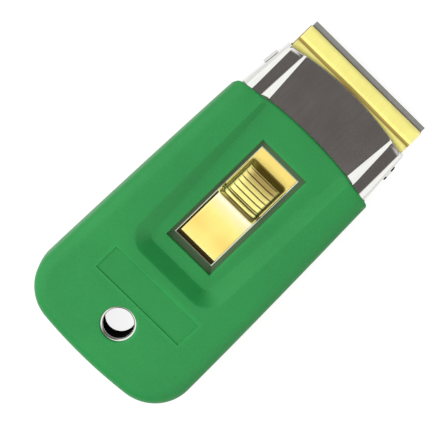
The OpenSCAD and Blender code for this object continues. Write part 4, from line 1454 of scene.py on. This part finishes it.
def node_tree(name, sockets):
    """New geometry tree with named inputs; returns it and its inputs by name"""
    tree = bpy.data.node_groups.new(name, "GeometryNodeTree")
    for socket, kind in {"Geometry": "NodeSocketGeometry", **sockets}.items():
        tree.interface.new_socket(socket, in_out="INPUT", socket_type=kind)
    tree.interface.new_socket("Geometry", in_out="OUTPUT", socket_type="NodeSocketGeometry")
    given = put(tree, "NodeGroupInput").outputs
    return tree, {socket.name: Signal(socket) for socket in given if socket.name}


def close_tree(tree, geometry, material):
    """Ends a tree in Realize Instances and Set Material"""
    real = signal(tree, "GeometryNodeRealizeInstances", "Geometry", {"Geometry": geometry})
    done = signal(tree, "GeometryNodeSetMaterial", "Geometry", {"Geometry": real, "Material": material})
    put(tree, "NodeGroupOutput", {"Geometry": done})


def through_nodes(mesh, tree, inputs):
    """Runs a mesh through a geometry tree and returns the result as a plain mesh"""
    source = bpy.data.objects.new(mesh.name + ".source", mesh)
    bpy.context.scene.collection.objects.link(source)
    modifier = source.modifiers.new("nodes", "NODES")
    modifier.node_group = tree
    for item in tree.interface.items_tree:
        if item.in_out == "INPUT" and item.name in inputs:
            modifier[item.identifier] = inputs[item.name]
    graph = bpy.context.evaluated_depsgraph_get()
    result = bpy.data.meshes.new_from_object(source.evaluated_get(graph))
    source.modifiers.remove(modifier)
    bpy.data.objects.remove(source)
    name = mesh.name
    bpy.data.meshes.remove(mesh)
    result.name = name
    return result


def groove_nodes():
    """Tree that presses evenly spaced grooves across a hump, shallower towards their ends"""
    real = "NodeSocketFloat"
    tree, given = node_tree("Thumb grooves", {
        "First groove": real, "Pitch": real, "Count": "NodeSocketInt", "Width": real, "Depth": real,
        "Half length": real, "Lowest": real, "Material": "NodeSocketMaterial"})
    x, y, z = split(signal(tree, "GeometryNodeInputPosition", "Position"))
    back = given["First groove"] - y
    number = back.math("ROUND", back / given["Pitch"])
    number = back.math("MINIMUM", largest(number, 0), given["Count"] - 1)
    off = abs(back - number * given["Pitch"])
    groove = largest(1 - off / (given["Width"] / 2), 0)
    fade = largest(1 - (abs(x) / given["Half length"]) ** GROOVE_END_POWER, 0)
    drop = groove * given["Depth"] * fade
    offset = signal(tree, "ShaderNodeCombineXYZ", "Vector", {"Z": drop * -1})
    high = signal(tree, "FunctionNodeCompare", "Result", {0: z, 1: given["Lowest"]}, operation="GREATER_THAN")
    moved = signal(tree, "GeometryNodeSetPosition", "Geometry", {
        "Geometry": given["Geometry"], "Selection": high, "Offset": offset})
    close_tree(tree, moved, given["Material"])
    return tree


def rivet_nodes():
    """Tree that sets domed rivets at the points of a mesh"""
    real = "NodeSocketFloat"
    tree, given = node_tree("Rivets", {
        "Shank radius": real, "Head radius": real, "Head height": real, "Length": real,
        "Upper head": "NodeSocketBool", "Material": "NodeSocketMaterial"})
    shank = signal(tree, "GeometryNodeMeshCylinder", "Mesh", {
        "Vertices": RIVET_SEGMENTS, "Radius": given["Shank radius"], "Depth": given["Length"]})
    dome = signal(tree, "GeometryNodeMeshUVSphere", "Mesh", {
        "Segments": RIVET_SEGMENTS, "Rings": RIVET_RINGS, "Radius": given["Head radius"]})
    flat = signal(tree, "ShaderNodeCombineXYZ", "Vector", {
        "X": 1.0, "Y": 1.0, "Z": given["Head height"] / given["Head radius"]})
    seat = given["Length"] / 2 - given["Head height"]
    heads = []
    for sign in (-1, 1):
        lift = signal(tree, "ShaderNodeCombineXYZ", "Vector", {"Z": seat * sign})
        heads.append(signal(tree, "GeometryNodeTransform", "Geometry", {
            "Geometry": dome, "Translation": lift, "Scale": flat}))
    lower, upper = heads
    upper = signal(tree, "GeometryNodeSwitch", "Output", {
        "Switch": given["Upper head"], "True": upper}, input_type="GEOMETRY")
    joined = put(tree, "GeometryNodeJoinGeometry")
    for part in (shank, lower, upper):
        tree.links.new(part.socket, joined.inputs["Geometry"])
    spots = signal(tree, "GeometryNodeMeshToPoints", "Points", {"Mesh": given["Geometry"]})
    set_down = signal(tree, "GeometryNodeInstanceOnPoints", "Instances", {
        "Points": spots, "Instance": Signal(joined.outputs["Geometry"])})
    close_tree(tree, set_down, given["Material"])
    return tree


class SCRAPER_OT_rivets(bpy.types.Operator):
    """Set the rivets of the carrier and of the leaf spring"""

    bl_idname = "scraper.rivets"
    bl_label = "Rivets"

    def execute(self, context):
        tree = rivet_nodes()
        self.set_down(tree, "jaw_rivets", "carrier_rivets", (-1, 1), True)
        self.set_down(tree, "leaf_rivet", "spring_rivet", (0,), False)
        return {"FINISHED"}

    def set_down(self, tree, name, node, sides, upper):
        """Sets a rivet on each of the given sides of a node's box, with a head above it if upper is true"""
        low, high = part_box(node)
        middle = (low + high) / 2
        head = (high.y - low.y) / 2
        mesh = bpy.data.meshes.new(name)
        mesh.from_pydata([(side * (high.x - head), middle.y, middle.z) for side in sides], [], [])
        made = through_nodes(mesh, tree, {
            "Shank radius": head / RIVET_HEAD_SHARE, "Head radius": head, "Head height": RIVET_HEAD_HEIGHT,
            "Length": high.z - low.z, "Upper head": upper, "Material": finish_named("brass_plating")})
        place_piece(made, "carrier", "brass_plate", "brass_plating", node)


class SCRAPER_OT_carrier_parts(bpy.types.Operator):
    """Make the lower jaw and the bowed leaf spring of the carrier"""

    bl_idname = "scraper.carrier_parts"
    bl_label = "Jaw and spring"

    def execute(self, context):
        self.make_tray()
        self.make_spring()
        return {"FINISHED"}

    def make_tray(self):
        """A plate under the blade that steps up behind it"""
        low, high = TRAY_Z, SLIDE_Z
        front, end = tray_high.y, TRAY_END_Y
        stop = BLADE_BACK_Y - FIT_GAP
        fold, bevel, thick = 0.3 * MM, 0.1 * MM, SHEET
        outline = np.vstack([
            [[front - bevel, low], [front, low + bevel], [front, low + thick - bevel],
             [front - bevel, low + thick], [stop, low + thick]],
            arc((stop - fold, high - fold), fold, 0, QUARTER_TURN, 5),
            [[stop - fold, high], [end, high], [end, high - thick], [stop - thick, high - thick]],
            arc((stop - thick + fold, low + fold), fold, 2 * QUARTER_TURN, 3 * QUARTER_TURN, 5),
            [[stop - thick + fold, low]],
        ])
        place_bar("jaw_plate", outline, CARRIER_HALF, "carrier", "brass_plate", "brass_plating", "blade_tray")

    def make_spring(self):
        """A leaf that is flat at its rivet, then bows down to the lower shell and back up to the slide"""
        along = np.linspace(0, 1, 33)
        ys = SPRING_SEAT_Y + (spring_high.y - SPRING_SEAT_Y) * along
        drop = spring_high.z - spring_low.z - SPRING_SHEET
        bow = np.column_stack([ys, spring_high.z - drop * (1 - np.cos(2 * math.pi * along)) / 2])
        upper = np.vstack([[[spring_low.y, spring_high.z]], bow])
        outline = np.vstack([upper, upper[::-1] - (0, SPRING_SHEET)])
        half = spring_high.x
        place_bar("leaf_spring", outline, half, "carrier", "spring_steel", "tempered_steel", "drag_spring")


class SCRAPER_OT_blade(bpy.types.Operator):
    """Make the single-edge blade and its folded back"""

    bl_idname = "scraper.blade"
    bl_label = "Blade"

    def execute(self, context):
        half_thick = (blade_high.z - blade_low.z) / 2
        hone_half = half_thick * HONE_SHARE
        mid = BLADE_MID_Z
        outline = np.array([
            (EDGE_Y, mid),
            (EDGE_Y - HONE, mid + hone_half),
            (EDGE_Y - GRIND, mid + half_thick),
            (blade_low.y, mid + half_thick),
            (blade_low.y, mid - half_thick),
            (EDGE_Y - GRIND, mid - half_thick),
            (EDGE_Y - HONE, mid - hone_half),
        ])
        place_bar("ground_blade", outline, blade_high.x, "blade", "blade_steel", "ground_steel", "blade")
        self.make_spine()
        return {"FINISHED"}

    def make_spine(self):
        """A strip folded round the blade's back"""
        low, high = spine_low.z, spine_high.z
        back, front = spine_low.y, spine_high.y
        wall = blade_low.y - back
        fold = (high - low) / 2
        outline = np.vstack([
            [[front, low], [front, low + wall], [blade_low.y, low + wall],
             [blade_low.y, high - wall], [front, high - wall], [front, high], [back + fold, high]],
            arc((back + fold, (low + high) / 2), fold, QUARTER_TURN, 3 * QUARTER_TURN, 12)[1:],
            [[back + fold, low]],
        ])
        place_bar("folded_back", outline, spine_high.x, "blade", "blade_steel", "ground_steel", "blade_spine")


# Stage

FLOOR_HALF = 1.5
FLOOR_GLOW = 0.85
# Width of the picture and focal length in pixels, width of the sensor in millimetres, and the camera's aim
FRAME_SIZE = 436
FRAME_FOCAL = 3571.66
SENSOR = 36
CAMERA_TARGET = Vector((-1.055, -1.720, 4.0)) * MM
CAMERA_TO_BLADE = math.radians(12)
CAMERA_TO_LEFT = math.radians(7)
CAMERA_ROLL = math.radians(0.914)
CAMERA_TURN = math.radians(45)
CAMERA_RANGE = (0.05, 10)
# Place of the key light, which shines on the origin, and its width
KEY_PLACE = Vector((-0.125, -0.075, 0.115))
KEY_SIZE = 0.24
# Direction of the large soft panel overhead, and the angles where it is full and where it has faded out
SOFTBOX = Vector((-0.38, -0.38, 0.84)).normalized()
SOFTBOX_INNER = math.radians(40)
SOFTBOX_OUTER = math.radians(52)
# Where the camera's dark hood stands in front of the panels, as X and Y of a direction, and its half sizes
HOOD_PLACE = (0.122, -0.06)
HOOD_HALF = (0.085, 0.165)
# Where the strips along the sides, the fill on the right and the hood start and end, as parts of a direction
HORIZON = (0.02, 0.08)
STRIP_EDGE = (0.55, 0.75)
STRIP_TOP = (0.52, 0.58)
FILL_EDGE = (0.26, 0.4)
FILL_ENDS = (0.3, 0.55)
HOOD_EDGE = (0.75, 1.8)
# Colours of the shaded room and of its bright panels
SHADE_TONE = (1.0, 0.90, 0.85)
PANEL_TONE = (0.99, 1.0, 0.97)


class SCRAPER_OT_stage(bpy.types.Operator):
    """Make the floor, the room light, the key light and the camera"""

    bl_idname = "scraper.stage"
    bl_label = "Stage"

    def execute(self, context):
        settings = context.scene.scraper_stage
        context.scene.view_settings.view_transform = "Standard"
        self.make_floor(settings)
        self.make_room(context.scene, settings)
        self.make_key(settings)
        self.make_camera(context.scene, settings)
        return {"FINISHED"}

    def make_floor(self, settings):
        """Paper whose glow shows to the camera and in mirrors but lights nothing"""
        mesh = bpy.data.meshes.new("floor")
        corners = [(x * FLOOR_HALF, y * FLOOR_HALF, -FIT_GAP) for x, y in reversed(CORNERS)]
        mesh.from_pydata(corners, [], [range(len(corners))])
        material, where = new_finish("floor_paper")
        tree = material.node_tree
        path = put(tree, "ShaderNodeLightPath").outputs
        rays = [Signal(path[name]) for name in ("Is Camera Ray", "Is Glossy Ray", "Is Transmission Ray")]
        grey = settings.floor_colour
        base = noise(where, 900).spread(0, 1).blend(paint(grey, 0.98), paint(grey))
        paper = signal(tree, "ShaderNodeBsdfDiffuse", "BSDF", {"Color": base})
        glow = signal(tree, "ShaderNodeEmission", "Emission", {
            "Color": (1, 1, 1, 1), "Strength": largest(*rays) * FLOOR_GLOW})
        both = signal(tree, "ShaderNodeAddShader", "Shader", {0: paper, 1: glow})
        put(tree, "ShaderNodeOutputMaterial", {"Surface": both})
        mesh.materials.append(material)
        floor = bpy.data.objects.new("floor", mesh)
        bpy.context.scene.collection.objects.link(floor)

    def make_room(self, scene, settings):
        """A dim warm room with a soft panel overhead, a strip along each side and a fill on the right"""
        world = bpy.data.worlds.new("room")
        world.use_nodes = True
        tree = world.node_tree
        tree.nodes.clear()
        direction = signal(tree, "ShaderNodeTexCoord", "Generated")
        x, y, z = split(direction)
        toward = signal(
            tree, "ShaderNodeVectorMath", "Value", {0: direction, 1: SOFTBOX}, operation="DOT_PRODUCT")
        panel = toward.ramp(math.cos(SOFTBOX_OUTER), math.cos(SOFTBOX_INNER))
        strips = abs(x).ramp(*STRIP_EDGE) * z.ramp(*HORIZON) * z.ramp(*STRIP_TOP, 1, 0)
        fill = x.ramp(*FILL_EDGE) * z.ramp(*HORIZON) * abs(y).ramp(*FILL_ENDS, 1, 0)
        off_x = (x - HOOD_PLACE[0]) / HOOD_HALF[0]
        off_y = (y - HOOD_PLACE[1]) / HOOD_HALF[1]
        bright = largest(panel, strips, fill) * (off_x * off_x + off_y * off_y).ramp(*HOOD_EDGE)
        tone = bright.blend(paint(SHADE_TONE), paint(PANEL_TONE))
        strength = bright.ramp(0, 1, settings.shade_level, 1) * settings.room_strength
        light = signal(tree, "ShaderNodeBackground", "Background", {"Color": tone, "Strength": strength})
        put(tree, "ShaderNodeOutputWorld", {"Surface": light})
        scene.world = world

    def make_key(self, settings):
        """A soft light that shows neither to the camera nor in mirrors"""
        lamp = bpy.data.lights.new("key", "AREA")
        lamp.size = KEY_SIZE
        lamp.energy = settings.key_power
        key = bpy.data.objects.new("key", lamp)
        place = Matrix.Translation(KEY_PLACE)
        key.matrix_world = place @ KEY_PLACE.to_track_quat("Z", "Y").to_matrix().to_4x4()
        key.visible_camera = False
        key.visible_glossy = False
        bpy.context.scene.collection.objects.link(key)

    def make_camera(self, scene, settings):
        """The photograph's view, turned in its own plane"""
        camera = bpy.data.cameras.new("camera")
        camera.sensor_width = SENSOR
        camera.lens = SENSOR * FRAME_FOCAL / FRAME_SIZE
        camera.clip_start, camera.clip_end = CAMERA_RANGE
        out = Vector((-math.sin(CAMERA_TO_LEFT), math.sin(CAMERA_TO_BLADE), 0))
        out.z = math.sqrt(1 - out.length_squared)
        level = Vector((0, 1, 0)).cross(out).normalized()
        upright = out.cross(level)
        turn = CAMERA_ROLL + CAMERA_TURN
        right = level * math.cos(turn) + upright * math.sin(turn)
        up = upright * math.cos(turn) - level * math.sin(turn)
        place = Matrix((right, up, out)).transposed().to_4x4()
        place.translation = CAMERA_TARGET + out * settings.camera_distance
        holder = bpy.data.objects.new("camera", camera)
        holder.matrix_world = place
        scene.collection.objects.link(holder)
        scene.camera = holder


GROUPS = {"scraper_shape": ScraperShape, "scraper_finish": ScraperFinish, "scraper_stage": ScraperStage}
PIECES = (
    SCRAPER_OT_cover, SCRAPER_OT_top_shell, SCRAPER_OT_bottom_shell, SCRAPER_OT_eyelet,
    SCRAPER_OT_thumb_slide, SCRAPER_OT_rivets, SCRAPER_OT_carrier_parts, SCRAPER_OT_blade, SCRAPER_OT_stage,
)


class SCRAPER_PT_panel(bpy.types.Panel):
    """Buttons that build the scraper, with its sizes and colours"""

    bl_idname = "SCRAPER_PT_panel"
    bl_label = "Pocket scraper"
    bl_space_type = "VIEW_3D"
    bl_region_type = "UI"
    bl_category = "Scraper"

    def draw(self, context):
        for piece in PIECES:
            self.layout.operator(piece.bl_idname)
        for group_name, group in GROUPS.items():
            box = self.layout.box()
            for name in group.__annotations__:
                box.prop(getattr(context.scene, group_name), name)


CLASSES = (*GROUPS.values(), *PIECES, SCRAPER_PT_panel)


def register():
    for item in CLASSES:
        bpy.utils.register_class(item)
    for name, group in GROUPS.items():
        setattr(bpy.types.Scene, name, bpy.props.PointerProperty(type=group))


def unregister():
    for name in GROUPS:
        delattr(bpy.types.Scene, name)
    for item in reversed(CLASSES):
        bpy.utils.unregister_class(item)


def main():
    """Builds the scraper"""
    register()
    for piece in PIECES:
        group, action = piece.bl_idname.split(".")
        getattr(getattr(bpy.ops, group), action)()


if __name__ == "__main__":
    main()
